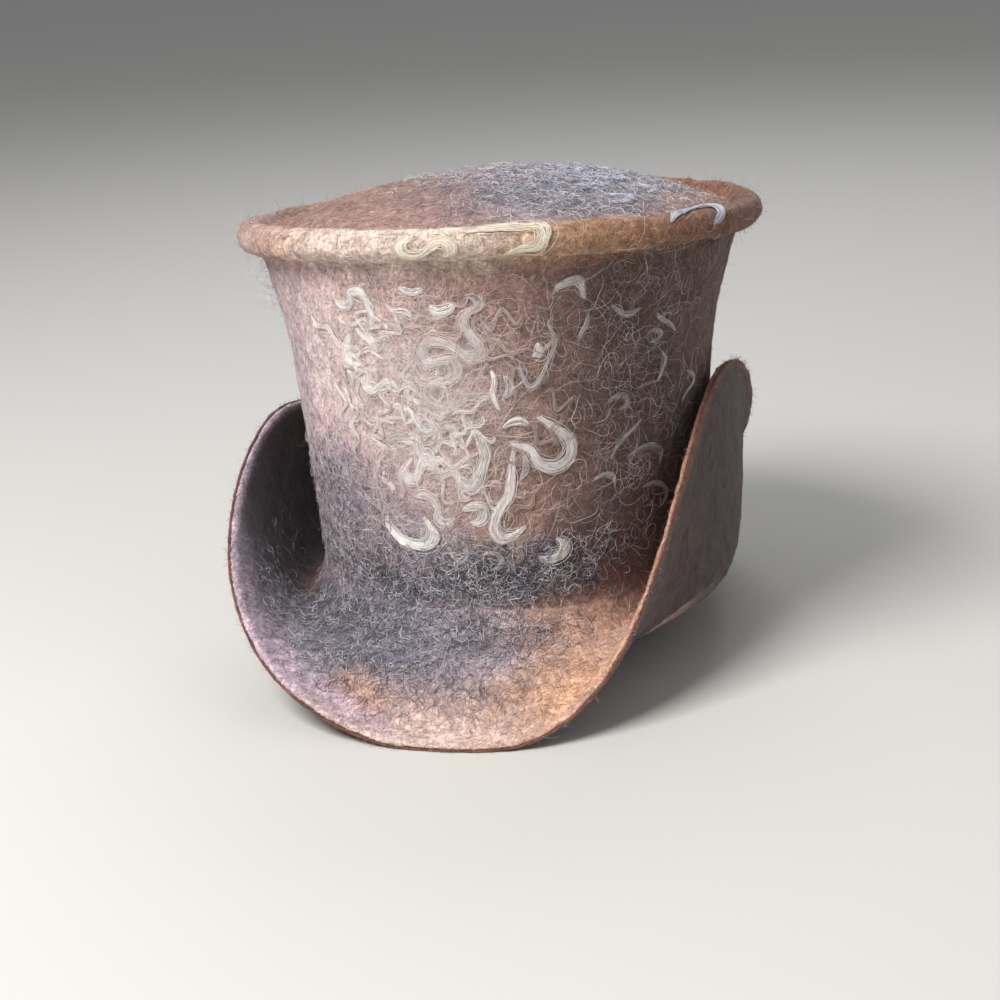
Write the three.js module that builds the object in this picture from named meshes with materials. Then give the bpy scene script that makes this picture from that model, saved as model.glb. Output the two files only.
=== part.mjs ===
// A hand-felted wool top hat: flared crown, rolled rim round a domed tip, brim curled up at
// both sides, a ribbon sweatband inside, and curled locks of fleece felted onto the outside.
//
// Millimetres, +Z up. The wearer looks along -Y, so the front of the brim is at -Y. The hat
// stands on the dips of its brim: z = 0 is the surface it stands on.
//
// Angles round the hat are measured from the front, growing towards +X.

import * as THREE from 'three';
import { ParametricGeometry } from 'three/addons/geometries/ParametricGeometry.js';
import { mergeVertices } from 'three/addons/utils/BufferGeometryUtils.js';

// ---------------------------------------------------------------- driving dimensions

const GAP = 0.3; // air left between neighbouring solids

const FOOT = { side: 86.5, front: 103 }; // outer half axes of the crown where it meets the brim
const FOOT_Z = 23.5; // height of that join above the floor
const CROWN_HEIGHT = 183; // from the join to the top of the rolled rim
const RIM = { side: 120, front: 126 }; // outer half axes of the rolled rim
const WALL_LEAN = 13.2; // how far the wall leans out over its whole height,
const LEAN_LIMIT = 15; // and the most that it may reach beyond that height
const FLARE = { side: 16, front: 3 }; // how far its top curls outward on top of the lean
const FLARE_START = 0.6; // share of its height where that curl begins

const RIM_TILT_X = 0.03; // the rim rises towards +X,
const RIM_TILT_Y = -0.067; // and towards the front,
const RIM_SADDLE = 1.2; // and its sides droop by this much against front and back

const WALL_THICK = 4.5;
const WALL_STOP = 13.6; // the wall ends this far under the rim's top, just below the tip
const ROLL_HALF_WIDTH = 6;
const ROLL_HALF_HEIGHT = 7;
const ROLL_START = -60; // where the outside passes from the wall onto the roll, degrees

const TIP_THICK = 5;
const TIP_VALLEY = 8; // depth of the valley between rim and dome
const DOME_RISE = 21.5; // height of the dome over the valley
const DOME_CENTRE = [-16, 14];
const DOME_FADE = 0.35; // the dome sinks by this share one side half axis away from its centre
const TIP_BEVEL = 1.2; // the tip's underside is this much smaller than its upper face

const LAYER_THICK = 2.2; // each of the brim's two felt layers
const FILLET = { side: 9, front: 20 }; // radius of the soft turn from crown to brim
const LEAVING = { side: 20, front: -12 }; // slope of the brim as it leaves that turn, degrees
const ARRIVING = { side: 96, front: 0 }; // and as it reaches its edge
const LEAD = { side: 0.1, front: 0.3 }; // how long it holds the first slope, as a share of its reach
const TRAIL = { side: 0.36, front: 0.25 }; // and the second one
const BRIM = { side: 130, front: 151.5 }; // half axes of the brim's edge, seen from above
const BRIM_SHIFT = [-4, -3];
const BRIM_PINCH = 0.19; // the curled sides pull in, the corners swell out, by this share
const EDGE_MEAN = 31; // the edge's height over the join, averaged round the hat
const EDGE_CURL = 57; // sides up, front and back down
const EDGE_FLATTEN = 6.5; // flattens the two dips that the hat stands on
const LIP = 7; // length of the straight lip along the edge
const PRESSED = 1.2; // how far the floor flattens the under layer where the hat stands on it
const EDGE_NOD = -2.6; // the front dip hangs lower than the back one by twice this
const EDGE_LEAN = 10; // the +X side curls higher
const EDGE_TWIST = -20; // the curl is turned a little about the crown

const BAND = { height: 27, thick: 1, inset: 0.4, lift: 2, lap: 24 };
const LAP_MARGIN = 1; // the band shows by this much above and below its lap

const ROUND_STEPS = 54; // facets round the hat
const WALL_ROWS = 9;
const ROLL_SIDES = 9;
const TIP_RINGS = 6;
const FILLET_STEPS = 4;
const BRIM_STEPS = 5;
const LAP_STEPS = 6;
const LOCK_LIFT = 0.5; // a lock's underside over the felt
const LOCK_HEIGHT = 1.6;
const LOCK_STEP = 4.2; // length of one step along a lock
const LOCK_MIN_STEPS = 5;
const LOCK_SLIMMEST = 0.3; // least width next to a lock's pointed ends, as a share of the full width
const LOCK_LOWEST = 0.4; // and least height there

// ---------------------------------------------------------------- shape helpers

const TAU = 2 * Math.PI;
const radians = (degrees) => degrees * Math.PI / 180;

function ringPoint(half, angle, z, target = new THREE.Vector3()) {
  return target.set(half.side * Math.sin(angle), -half.front * Math.cos(angle), z);
}

const grown = (half, by) => ({ side: half.side + by, front: half.front + by });

// One closed body from a function of two parameters. Seams and poles are merged, triangles
// that collapse at a pole are dropped, and the faces are turned to point out.
function closedBody(surface, slices, stacks) {
  const grid = new ParametricGeometry(surface, slices, stacks);
  grid.deleteAttribute('normal');
  grid.deleteAttribute('uv');
  const merged = mergeVertices(grid, 1e-3);
  const position = merged.attributes.position;
  const corner = [0, 1, 2].map(() => new THREE.Vector3());
  const kept = [];
  let volume = 0;
  for (let i = 0; i < merged.index.count; i += 3) {
    const face = [0, 1, 2].map((k) => merged.index.getX(i + k));
    if (new Set(face).size < 3) continue;
    face.forEach((vertex, k) => corner[k].fromBufferAttribute(position, vertex));
    volume += corner[0].dot(corner[1].cross(corner[2]));
    kept.push(face);
  }
  if (volume < 0) kept.forEach((face) => face.reverse());
  const body = new THREE.BufferGeometry();
  body.setAttribute('position', position);
  body.setIndex(kept.flat());
  body.computeVertexNormals();
  return body;
}

// A ring round the hat whose section is a closed loop of points, given for each angle.
function ringBody(loopAt, slices = ROUND_STEPS) {
  const loops = Array.from({ length: slices }, (_, i) => loopAt(TAU * i / slices));
  const around = loops[0].length;
  return closedBody((u, v, target) => {
    const loop = loops[Math.round(u * slices) % slices];
    target.copy(loop[Math.round(v * around) % around]);
  }, slices, around);
}

// A felt sheet's section: the loop between two offsets from a line, in the upright plane that
// holds the line, with its two ends drawn in so that they look rounded. The loop runs out along
// the far offset and back along the near one, so that two layers which meet at their near
// offsets are cut into the same triangles and stay clear of each other.
function between(line, outward, near, far) {
  const up = new THREE.Vector3(0, 0, 1);
  const middle = (near + far) / 2;
  const farSide = [];
  const nearSide = [];
  line.forEach((point, i) => {
    const ahead = line[Math.min(i + 1, line.length - 1)];
    const behind = line[Math.max(i - 1, 0)];
    const along = ahead.clone().sub(behind).normalize();
    const normal = up.clone().multiplyScalar(along.dot(outward)).addScaledVector(outward, -along.dot(up));
    const isEnd = i === 0 || i === line.length - 1;
    const half = (far - near) / 2 * (isEnd ? 0.5 : 1);
    farSide.push(point.clone().addScaledVector(normal, middle + half));
    nearSide.push(point.clone().addScaledVector(normal, middle - half));
  });
  return farSide.concat(nearSide.reverse());
}

// ---------------------------------------------------------------- crown

// Height of the rolled rim's top over the floor, at a place seen from above.
function rimTop(x, y, angle) {
  const tilt = RIM_TILT_X * x + RIM_TILT_Y * y;
  return FOOT_Z + CROWN_HEIGHT + tilt + RIM_SADDLE * Math.cos(2 * angle);
}

function rimTopAt(angle) {
  const edge = ringPoint(RIM, angle, 0);
  return rimTop(edge.x, edge.y, angle);
}

// Outer half axes of the crown's wall at a share of its height.
function wallHalf(share) {
  const lean = Math.min(share * WALL_LEAN, LEAN_LIMIT);
  const flare = Math.pow(Math.max(share - FLARE_START, 0) / (1 - FLARE_START), 2);
  return {
    side: FOOT.side + lean + FLARE.side * flare,
    front: FOOT.front + lean + FLARE.front * flare,
  };
}

// A point on the wall's outer face. The rim's tilt fades in over the wall's height.
function wallPoint(angle, share, inward = 0) {
  const height = rimTopAt(angle) - FOOT_Z;
  return ringPoint(grown(wallHalf(share), -inward), angle, FOOT_Z + share * height);
}

const wallTopShare = (angle) => 1 - WALL_STOP / (rimTopAt(angle) - FOOT_Z);

function crownWall() {
  const last = WALL_ROWS - 1;
  return ringBody((angle) => {
    const top = wallTopShare(angle);
    const shares = Array.from({ length: WALL_ROWS }, (_, i) => top * Math.sin(Math.PI / 2 * i / last));
    const outer = shares.map((share) => wallPoint(angle, share));
    const inner = shares.map((share) => wallPoint(angle, share, WALL_THICK)).reverse();
    return outer.concat(inner);
  });
}

function rollCentre(angle) {
  return ringPoint(grown(RIM, -ROLL_HALF_WIDTH), angle, rimTopAt(angle) - ROLL_HALF_HEIGHT);
}

function tipRim() {
  return ringBody((angle) => {
    const centre = rollCentre(angle);
    const outward = ringPoint({ side: 1, front: 1 }, angle, 0);
    return Array.from({ length: ROLL_SIDES }, (_, i) => {
      const turn = TAU * i / ROLL_SIDES;
      const point = centre.clone().addScaledVector(outward, ROLL_HALF_WIDTH * Math.cos(turn));
      point.z += ROLL_HALF_HEIGHT * Math.sin(turn);
      return point;
    });
  });
}

const TIP_EDGE = grown(RIM, -2 * ROLL_HALF_WIDTH - GAP);

// Height of the tip's upper face over a place seen from above.
function tipTop(x, y, spread, angle) {
  const off = Math.hypot(x - DOME_CENTRE[0], y - DOME_CENTRE[1]) / RIM.side;
  const dome = DOME_RISE * (1 - Math.pow(spread, 3)) * (1 - DOME_FADE * off * off);
  return rimTop(x, y, angle) - TIP_VALLEY + dome - RIM_SADDLE * Math.cos(2 * angle) * (1 - spread);
}

function crownTip() {
  return closedBody((u, v, target) => {
    const angle = TAU * u;
    const above = v <= 0.5;
    const spread = Math.min(above ? 2 * v : 2 - 2 * v, 1);
    const inset = above ? 0 : TIP_BEVEL * spread;
    ringPoint(grown(TIP_EDGE, -inset), angle, 0, target).multiplyScalar(spread);
    target.z = tipTop(target.x, target.y, spread, angle) - (above ? 0 : TIP_THICK);
  }, ROUND_STEPS, 2 * TIP_RINGS);
}

// ---------------------------------------------------------------- brim

function brimEdge(angle) {
  const swell = 1 + BRIM_PINCH * Math.cos(2 * angle);
  const x = BRIM_SHIFT[0] + BRIM.side * Math.sin(angle) * swell;
  const y = BRIM_SHIFT[1] - BRIM.front * Math.cos(angle);
  const curl = EDGE_MEAN - EDGE_CURL * Math.cos(2 * angle) + EDGE_FLATTEN * Math.cos(4 * angle);
  const uneven = EDGE_NOD * Math.cos(angle) + EDGE_LEAN * Math.sin(angle) + EDGE_TWIST * Math.sin(2 * angle);
  const resting = LAYER_THICK + GAP / 2 - PRESSED;
  return new THREE.Vector3(x, y, Math.max(FOOT_Z + curl + uneven, resting));
}

// The brim's middle surface, as a line from the crown's foot to the edge. It turns out of the
// wall by a fillet, then runs on one cubic curve.
function brimLine(angle) {
  const foot = ringPoint(FOOT, angle, FOOT_Z);
  const height = rimTopAt(angle) - FOOT_Z;
  const edge = brimEdge(angle);
  const outward = edge.clone().sub(foot).setZ(0).normalize();
  const place = (out, z) => wallPoint(angle, z / height).addScaledVector(outward, out);
  const side = (1 - Math.cos(2 * angle)) / 2;
  const blend = (value) => THREE.MathUtils.lerp(value.front, value.side, side);
  const start = LAYER_THICK + 3 * GAP;
  const fillet = blend(FILLET);
  const line = [];
  for (let i = 0; i < FILLET_STEPS; i += 1) {
    const turn = Math.PI / 2 * i / FILLET_STEPS;
    line.push(place(start + fillet * (1 - Math.cos(turn)), start + fillet * (1 - Math.sin(turn))));
  }
  const join = place(start + fillet, start);
  const leaving = radians(blend(LEAVING));
  const arriving = radians(blend(ARRIVING));
  const moved = (from, distance, slope) => {
    const point = from.clone().addScaledVector(outward, distance * Math.cos(slope));
    return point.setZ(from.z + distance * Math.sin(slope));
  };
  const lip = moved(edge, -LIP, arriving);
  const reach = lip.distanceTo(join);
  const lead = moved(join, reach * blend(LEAD), leaving);
  const trail = moved(lip, -reach * blend(TRAIL), arriving);
  const run = new THREE.CubicBezierCurve3(join, lead, trail, lip);
  return { line: line.concat(run.getPoints(BRIM_STEPS), edge), outward };
}

// The upper layer lies above the middle surface, the under layer below it. The floor presses
// the under layer flat where the hat stands on it.
function brimLayer(near, far) {
  return ringBody((angle) => {
    const { line, outward } = brimLine(angle);
    return between(line, outward, near, far).map((point) => point.setZ(Math.max(point.z, 0)));
  });
}

// ---------------------------------------------------------------- sweatband

function bandLoop(angle, inset, bottom, top) {
  const at = (z, extra) => {
    const share = (z - FOOT_Z) / (rimTopAt(angle) - FOOT_Z);
    return wallPoint(angle, share, WALL_THICK + inset + extra);
  };
  return [at(bottom, 0), at(top, 0), at(top, BAND.thick), at(bottom, BAND.thick)];
}

function sweatband() {
  const bottom = FOOT_Z + BAND.lift;
  return ringBody((angle) => bandLoop(angle, BAND.inset, bottom, bottom + BAND.height));
}

// The short lap that covers the band's join, at the back of the head.
function sweatbandLap() {
  const reach = BAND.lap / 2 / FOOT.front;
  const inset = BAND.inset + BAND.thick + GAP;
  const bottom = FOOT_Z + BAND.lift + LAP_MARGIN;
  const top = FOOT_Z + BAND.lift + BAND.height - LAP_MARGIN;
  return closedBody((u, v, target) => {
    const end = u === 0 || u === 1;
    const along = THREE.MathUtils.clamp((u * (LAP_STEPS + 2) - 1) / LAP_STEPS, 0, 1);
    const loop = bandLoop(Math.PI + reach * (2 * along - 1), inset, bottom, top);
    if (end) {
      target.copy(loop[0]).add(loop[1]).add(loop[2]).add(loop[3]).multiplyScalar(0.25);
    } else {
      target.copy(loop[Math.round(v * 4) % 4]);
    }
  }, LAP_STEPS + 2, 4);
}

// ---------------------------------------------------------------- fleece locks

// A place on the crown's outside: an angle round the hat in degrees, and the distance up the
// outside from the foot. Past the wall's top it runs on round the rolled rim.
function crownSkin(degrees, climb) {
  const angle = radians(degrees);
  const height = rimTopAt(angle) - FOOT_Z;
  const passing = height - 2 * ROLL_HALF_HEIGHT - GAP;
  if (climb <= passing) return wallPoint(angle, climb / height);
  const turn = radians(ROLL_START) + (climb - passing) / ROLL_HALF_HEIGHT;
  const half = grown(RIM, ROLL_HALF_WIDTH * (Math.cos(turn) - 1));
  return ringPoint(half, angle, rimTopAt(angle) + ROLL_HALF_HEIGHT * (Math.sin(turn) - 1));
}

// A place on the tip, seen from above.
function tipSkin(x, y) {
  const spread = Math.hypot(x / TIP_EDGE.side, y / TIP_EDGE.front);
  const angle = Math.atan2(x / TIP_EDGE.side, -y / TIP_EDGE.front);
  return new THREE.Vector3(x, y, tipTop(x, y, spread, angle));
}

// A lock lies on a skin along a smooth line through its points. It is a flat strip, widest in
// its middle and pointed at both ends.
function lockBody(skin, points, width) {
  const route = new THREE.SplineCurve(points.map(([a, b]) => new THREE.Vector2(a, b)));
  const nudge = 0.05; // degrees and millimetres, to feel for the skin's slope
  const near = 0.01; // share of the route, to feel for its heading
  const frameAt = (along) => {
    const { x, y } = route.getPoint(along);
    const next = route.getPoint(Math.min(along + near, 1));
    const last = route.getPoint(Math.max(along - near, 0));
    const place = skin(x, y);
    const right = skin(x + nudge, y).sub(place);
    const rise = skin(x, y + nudge).sub(place);
    const normal = right.cross(rise).normalize();
    const heading = skin(next.x, next.y).sub(skin(last.x, last.y)).normalize();
    return { place, normal, side: normal.clone().cross(heading).normalize() };
  };
  const samples = 60;
  let length = 0;
  for (let i = 0; i < samples; i += 1) {
    length += frameAt(i / samples).place.distanceTo(frameAt((i + 1) / samples).place);
  }
  const steps = Math.max(Math.round(length / LOCK_STEP), LOCK_MIN_STEPS);
  const section = [[-0.5, 0], [-0.25, 1], [0.25, 1], [0.5, 0]];
  return closedBody((u, v, target) => {
    const { place, normal, side } = frameAt(u);
    const swell = Math.sqrt(Math.sin(Math.PI * u));
    const full = u < 1e-6 || u > 1 - 1e-6 ? 0 : Math.max(swell, LOCK_SLIMMEST);
    const [across, high] = section[Math.round(v * 4) % 4];
    target.copy(place).addScaledVector(side, across * width * full);
    const rise = (full ? high : 0.5) * LOCK_HEIGHT * Math.max(full, LOCK_LOWEST);
    target.addScaledVector(normal, LOCK_LIFT + rise);
  }, steps, 4);
}

const CREAM = 0xe8dccb;
const SMOKE = 0xb9b3b0;
const BLUE = 0x8b90a3;

// Locks on the crown and its rim: name, colour, width, then [degrees round, distance up].
const CROWN_LOCKS = [
  ['curl_crimp_upper', CREAM, 2.4, [[-19, 161], [-18, 157], [-15, 156], [-13, 160], [-14, 164],
    [-11, 166], [-9, 164], [-9, 160], [-8, 156], [-7, 153], [-9, 150], [-11, 150]]],
  ['curl_crimp_lower', CREAM, 2.4, [[-14, 148], [-12, 145], [-10, 145], [-8, 142], [-9, 138]]],
  ['curl_left_loop', CREAM, 2.4, [[-16, 145], [-18, 141], [-19, 137], [-18, 133], [-15, 132],
    [-12, 132]]],
  ['curl_left_comma', CREAM, 2, [[-19, 129], [-17, 128], [-17, 125], [-18, 122]]],
  ['curl_left_wave', CREAM, 2.4, [[-10, 129], [-13, 127], [-14, 124], [-13, 121], [-10, 121],
    [-8, 125], [-6, 127], [-4, 125], [-3, 121]]],
  ['curl_left_arc', SMOKE, 2.2, [[-9, 97], [-7, 101], [-4, 103], [-1, 101], [-1, 98]]],
  ['curl_upper_wave', CREAM, 2.6, [[7, 160], [8, 156], [10, 156], [12, 158], [13, 161]]],
  ['curl_long_s', CREAM, 3.4, [[15, 163], [17, 164], [19, 162], [19, 158], [16, 157], [14, 155],
    [14, 151], [15, 148], [17, 146], [19, 141], [19, 137], [16, 136], [14, 139], [12, 142], [9, 145],
    [6, 146], [4, 143], [3, 139], [4, 135], [6, 134], [9, 136], [12, 137], [13, 134], [13, 130],
    [10, 127], [7, 127], [4, 125], [3, 122], [4, 118], [6, 116], [9, 115], [12, 115], [14, 118],
    [16, 121], [18, 121]]],
  ['curl_teardrop', CREAM, 3.4, [[14, 112], [16, 105], [18, 99], [19, 94], [18, 89], [17, 83],
    [16, 79], [14, 77], [12, 79], [11, 83], [9, 88], [7, 96]]],
  ['curl_left_hook', CREAM, 2.6, [[-1, 93], [-3, 89], [-5, 85], [-3, 81], [-1, 81], [0, 85], [1, 90],
    [2, 94], [4, 93], [5, 89], [4, 84]]],
  ['curl_low_hook', CREAM, 2.6, [[-2, 72], [-1, 76], [2, 77], [4, 74], [5, 69], [4, 65], [5, 62],
    [7, 61], [9, 65]]],
  ['curl_left_crescent', CREAM, 3, [[-11, 64], [-12, 60], [-10, 55], [-7, 52], [-4, 51], [0, 51],
    [3, 53], [4, 57], [2, 61], [0, 65]]],
  ['curl_small_ring', CREAM, 2.4, [[11, 68], [13, 71], [15, 72], [18, 71], [18, 68], [18, 65],
    [16, 62], [13, 63]]],
  ['curl_white_hook', CREAM, 3.4, [[26, 95], [25, 89], [25, 83], [24, 75], [22, 70], [20, 65],
    [19, 60], [20, 55], [22, 53], [25, 55], [28, 60]]],
  ['curl_hook_side', SMOKE, 1.8, [[28, 93], [29, 89], [29, 84], [27, 81]]],
  ['curl_big_ring', CREAM, 3.6, [[23, 100], [26, 97], [30, 95], [31, 90], [33, 86], [36, 84], [39, 86],
    [41, 90], [41, 95], [40, 98], [37, 102], [34, 106], [32, 109]]],
  ['curl_soft_ring', CREAM, 2.2, [[23, 104], [25, 108], [28, 109], [30, 105]]],
  ['curl_spark', CREAM, 2.2, [[32, 141], [33, 138], [33, 135], [31, 136]]],
  ['curl_v_loop', SMOKE, 2, [[28, 134], [28, 129], [29, 124], [30, 120], [32, 122], [34, 128],
    [35, 132], [36, 136], [37, 141], [36, 145], [33, 145]]],
  ['curl_high_arc', CREAM, 2, [[35, 161], [36, 165], [38, 167], [41, 167], [42, 162], [43, 157]]],
  ['curl_right_crescent', CREAM, 3, [[36, 52], [39, 50], [39, 46], [37, 42], [33, 42], [31, 45]]],
  ['curl_soft_upper', CREAM, 2.4, [[0, 168], [1, 165], [4, 164], [6, 167]]],
  ['curl_soft_left', CREAM, 2.2, [[-4, 160], [-2, 157], [1, 158], [3, 154]]],
  ['curl_soft_middle', CREAM, 2.4, [[-3, 116], [0, 113], [1, 109], [2, 105], [4, 103], [6, 106]]],
  ['curl_soft_low', CREAM, 2.2, [[8, 107], [11, 108], [12, 105], [12, 102], [10, 100]]],
  ['curl_soft_right', CREAM, 2.2, [[21, 131], [22, 126], [21, 120], [22, 115], [23, 112]]],
  ['curl_soft_far', SMOKE, 2, [[24, 128], [26, 125], [26, 121], [24, 118]]],
  ['curl_faint_ring', SMOKE, 1.8, [[10, 55], [12, 52], [12, 47], [10, 44], [8, 46], [7, 50]]],
  ['curl_foot_ring', SMOKE, 1.8, [[15, 47], [18, 49], [21, 47], [21, 42], [17, 40]]],
  ['mohair_coil', SMOKE, 1.8, [[51, 109], [54, 112], [57, 110], [57, 106], [54, 105]]],
  ['mohair_loop', SMOKE, 1.8, [[57, 82], [62, 85], [67, 84], [70, 79], [69, 73]]],
  ['mohair_knot', SMOKE, 1.4, [[62, 136], [64, 138], [67, 135], [65, 132], [63, 132]]],
  ['mohair_high_trail', SMOKE, 1.4, [[44, 152], [44, 148], [43, 144], [42, 140]]],
  ['mohair_upper_wave', SMOKE, 1.6, [[50, 153], [52, 149], [55, 146], [57, 147], [59, 149]]],
  ['mohair_right_wave', SMOKE, 1.6, [[64, 145], [66, 141], [70, 138], [73, 133]]],
  ['mohair_middle_trail', SMOKE, 1.6, [[68, 126], [70, 122], [69, 117], [67, 113]]],
  ['mohair_diagonal_trail', SMOKE, 1.4, [[62, 98], [59, 95], [56, 93], [53, 88], [52, 83]]],
  ['mohair_right_hook', SMOKE, 1.6, [[80, 112], [84, 108], [84, 104], [80, 102], [78, 97]]],
  ['mohair_low_curl', SMOKE, 1.6, [[46, 75], [49, 78], [53, 76], [53, 70]]],
  ['mohair_foot_curl', SMOKE, 1.6, [[62, 66], [68, 66], [73, 59], [70, 53]]],
  ['side_tuft_upper', BLUE, 2, [[-62, 166], [-66, 160], [-64, 153], [-69, 147]]],
  ['side_tuft_lower', BLUE, 2, [[-72, 158], [-75, 152], [-73, 145], [-77, 139]]],
  ['rim_crimped_curl', CREAM, 3, [[6, 190], [4, 189], [2, 186], [3, 182], [6, 181], [8, 184],
    [10, 188], [12, 189], [14, 186], [13, 182], [11, 181]]],
  ['rim_band_curl', CREAM, 3.4, [[16, 192], [20, 193], [24, 193], [28, 193], [31, 193], [32, 190],
    [31, 186], [30, 183], [27, 183], [25, 182], [23, 180]]],
  ['rim_right_curl', BLUE, 2.4, [[59, 187], [62, 191], [66, 192], [70, 193], [74, 191], [76, 187],
    [74, 183], [71, 181]]],
];

// Locks on the tip, seen from above in millimetres.
const TIP_LOCKS = [
  ['tip_curl_back', BLUE, 3, [[18, 22], [26, 28], [34, 24], [34, 15], [27, 13]]],
  ['tip_curl_middle', BLUE, 3, [[44, 18], [52, 22], [58, 15], [54, 7], [46, 8]]],
  ['tip_curl_front', BLUE, 3, [[40, -10], [49, -6], [57, -12], [54, -21], [45, -22]]],
  ['tip_curl_right', BLUE, 2.6, [[66, 2], [73, 8], [80, 2], [77, -7]]],
  ['tip_curl_corner', BLUE, 2.6, [[64, -28], [72, -24], [77, -32], [71, -39]]],
];

// ---------------------------------------------------------------- the hat

function felt(name, color, geometry) {
  const material = new THREE.MeshStandardMaterial({ color, roughness: 0.95, metalness: 0 });
  const mesh = new THREE.Mesh(geometry, material);
  mesh.name = name;
  return mesh;
}

const hat = new THREE.Group();
hat.add(
  felt('crown_wall', 0x8a6a5c, crownWall()),
  felt('crown_tip', 0x7c6470, crownTip()),
  felt('tip_rim', 0xb08a70, tipRim()),
  felt('brim_face', 0x6a5348, brimLayer(GAP / 2, GAP / 2 + LAYER_THICK)),
  felt('brim_base', 0x4a332c, brimLayer(-GAP / 2, -GAP / 2 - LAYER_THICK)),
  felt('sweatband', 0x2a2422, sweatband()),
  felt('sweatband_lap', 0x2a2422, sweatbandLap()),
);

for (const [name, color, width, points] of CROWN_LOCKS) {
  hat.add(felt(name, color, lockBody(crownSkin, points, width)));
}
for (const [name, color, width, points] of TIP_LOCKS) {
  hat.add(felt(name, color, lockBody(tipSkin, points, width)));
}

// The origin sits on the floor under the middle of the hat's box.
const box = new THREE.Box3().setFromObject(hat);
const middle = box.getCenter(new THREE.Vector3());
hat.position.set(-middle.x, -middle.y, -box.min.z);

export default hat;
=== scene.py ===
# A hand-felted wool top hat with curled fleece locks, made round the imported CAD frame.
# Metres, +Z up. The wearer looks along -Y. Angles round the hat are in degrees from the front,
# growing towards +X. Colours are written as 0-255 screen values and turned into linear ones.

import math

import bmesh
import bpy
import numpy as np
from mathutils import Matrix, Vector
from mathutils.bvhtree import BVHTree
from mathutils.kdtree import KDTree


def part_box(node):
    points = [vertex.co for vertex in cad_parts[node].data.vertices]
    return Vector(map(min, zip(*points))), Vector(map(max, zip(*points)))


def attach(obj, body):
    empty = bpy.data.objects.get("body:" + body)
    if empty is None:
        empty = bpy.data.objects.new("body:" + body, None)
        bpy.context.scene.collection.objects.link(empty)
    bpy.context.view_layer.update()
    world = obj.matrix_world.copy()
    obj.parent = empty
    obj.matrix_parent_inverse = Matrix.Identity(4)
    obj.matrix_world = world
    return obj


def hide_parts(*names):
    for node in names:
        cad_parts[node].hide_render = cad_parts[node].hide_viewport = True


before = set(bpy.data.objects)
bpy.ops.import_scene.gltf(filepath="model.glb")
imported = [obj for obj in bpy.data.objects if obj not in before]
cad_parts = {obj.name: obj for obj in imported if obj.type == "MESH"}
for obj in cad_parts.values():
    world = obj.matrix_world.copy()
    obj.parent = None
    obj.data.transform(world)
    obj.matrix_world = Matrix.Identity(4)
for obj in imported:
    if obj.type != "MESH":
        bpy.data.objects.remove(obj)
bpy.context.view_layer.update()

MM = 0.001
WALL_LOW, WALL_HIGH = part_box("crown_wall")
BAND_LOW, BAND_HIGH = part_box("sweatband")
CENTRE = (WALL_LOW + WALL_HIGH) / 2
FOOT_Z = WALL_LOW.z
WALL_THICK = 4.5 * MM
FOOT_SIDE = (BAND_HIGH.x - BAND_LOW.x) / 2 + WALL_THICK
FOOT_FRONT = (BAND_HIGH.y - BAND_LOW.y) / 2 + WALL_THICK
UPPER_NODES = ["crown_wall", "crown_tip", "tip_rim", "brim_face"]
FELT_NODES = UPPER_NODES + ["brim_base"]


def linked(name, data):
    """A new object, put into the scene."""
    thing = bpy.data.objects.new(name, data)
    bpy.context.scene.collection.objects.link(thing)
    return thing


def direction(azimuth, height):
    """Where an angle round the hat and a height over the horizon point, both in degrees."""
    a, h = math.radians(azimuth), math.radians(height)
    return Vector((math.sin(a) * math.cos(h), -math.cos(a) * math.cos(h), math.sin(h)))


# ---------------------------------------------------------------- camera

CAMERA_AZIMUTH = 22.2  # degrees towards +X from straight in front
CAMERA_HEIGHT = 17.7  # degrees above the horizon
CAMERA_DISTANCE = 0.963
CAMERA_ROLL = 3.1
CAMERA_LENS = 71.9
AIM = Vector((0.0, 0.0, 45.6 * MM))  # from the middle of the crown's foot
AIM_RIGHT = -7.0 * MM
AIM_UP = -6.4 * MM


def make_camera():
    azimuth = math.radians(CAMERA_AZIMUTH)
    back = direction(CAMERA_AZIMUTH, CAMERA_HEIGHT)
    right = Vector((math.cos(azimuth), math.sin(azimuth), 0.0))
    up = back.cross(right)
    aim = Vector((CENTRE.x, CENTRE.y, FOOT_Z)) + AIM + right * AIM_RIGHT + up * AIM_UP
    data = bpy.data.cameras.new("camera")
    data.lens = CAMERA_LENS
    data.sensor_width = 36.0
    data.clip_start = 0.01
    camera = linked("camera", data)
    turned = Matrix.Rotation(-math.radians(CAMERA_ROLL), 3, "Z")
    camera.matrix_world = (
        Matrix.Translation(aim + back * CAMERA_DISTANCE)
        @ (Matrix((right, up, back)).transposed() @ turned).to_4x4()
    )
    bpy.context.scene.camera = camera


make_camera()


# ---------------------------------------------------------------- numbers and noise

rng = np.random.default_rng(20)


def linear(colour):
    c = np.asarray(colour, float) / 255
    return np.where(c <= 0.04045, c / 12.92, ((c + 0.055) / 1.055) ** 2.4)


def mixed(a, b, share):
    return a + (b - a) * share


def eased(x, low, high):
    t = np.clip((x - low) / (high - low), 0, 1)
    return t * t * (3 - 2 * t)


def unit(v):
    return v / np.maximum(np.linalg.norm(v, axis=-1, keepdims=True), 1e-12)


def wrapped(degrees):
    """Angles brought into -180 to 180."""
    return (degrees + 180) % 360 - 180


def lattice(i, j, k, seed):
    h = (i * 374761393 + j * 668265263 + k * 1442695041 + seed * 974634777) & 0xFFFFFFFF
    h = ((h ^ (h >> 13)) * 1274126177) & 0xFFFFFFFF
    return ((h ^ (h >> 16)) & 0xFFFF) / 32767.5 - 1


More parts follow.
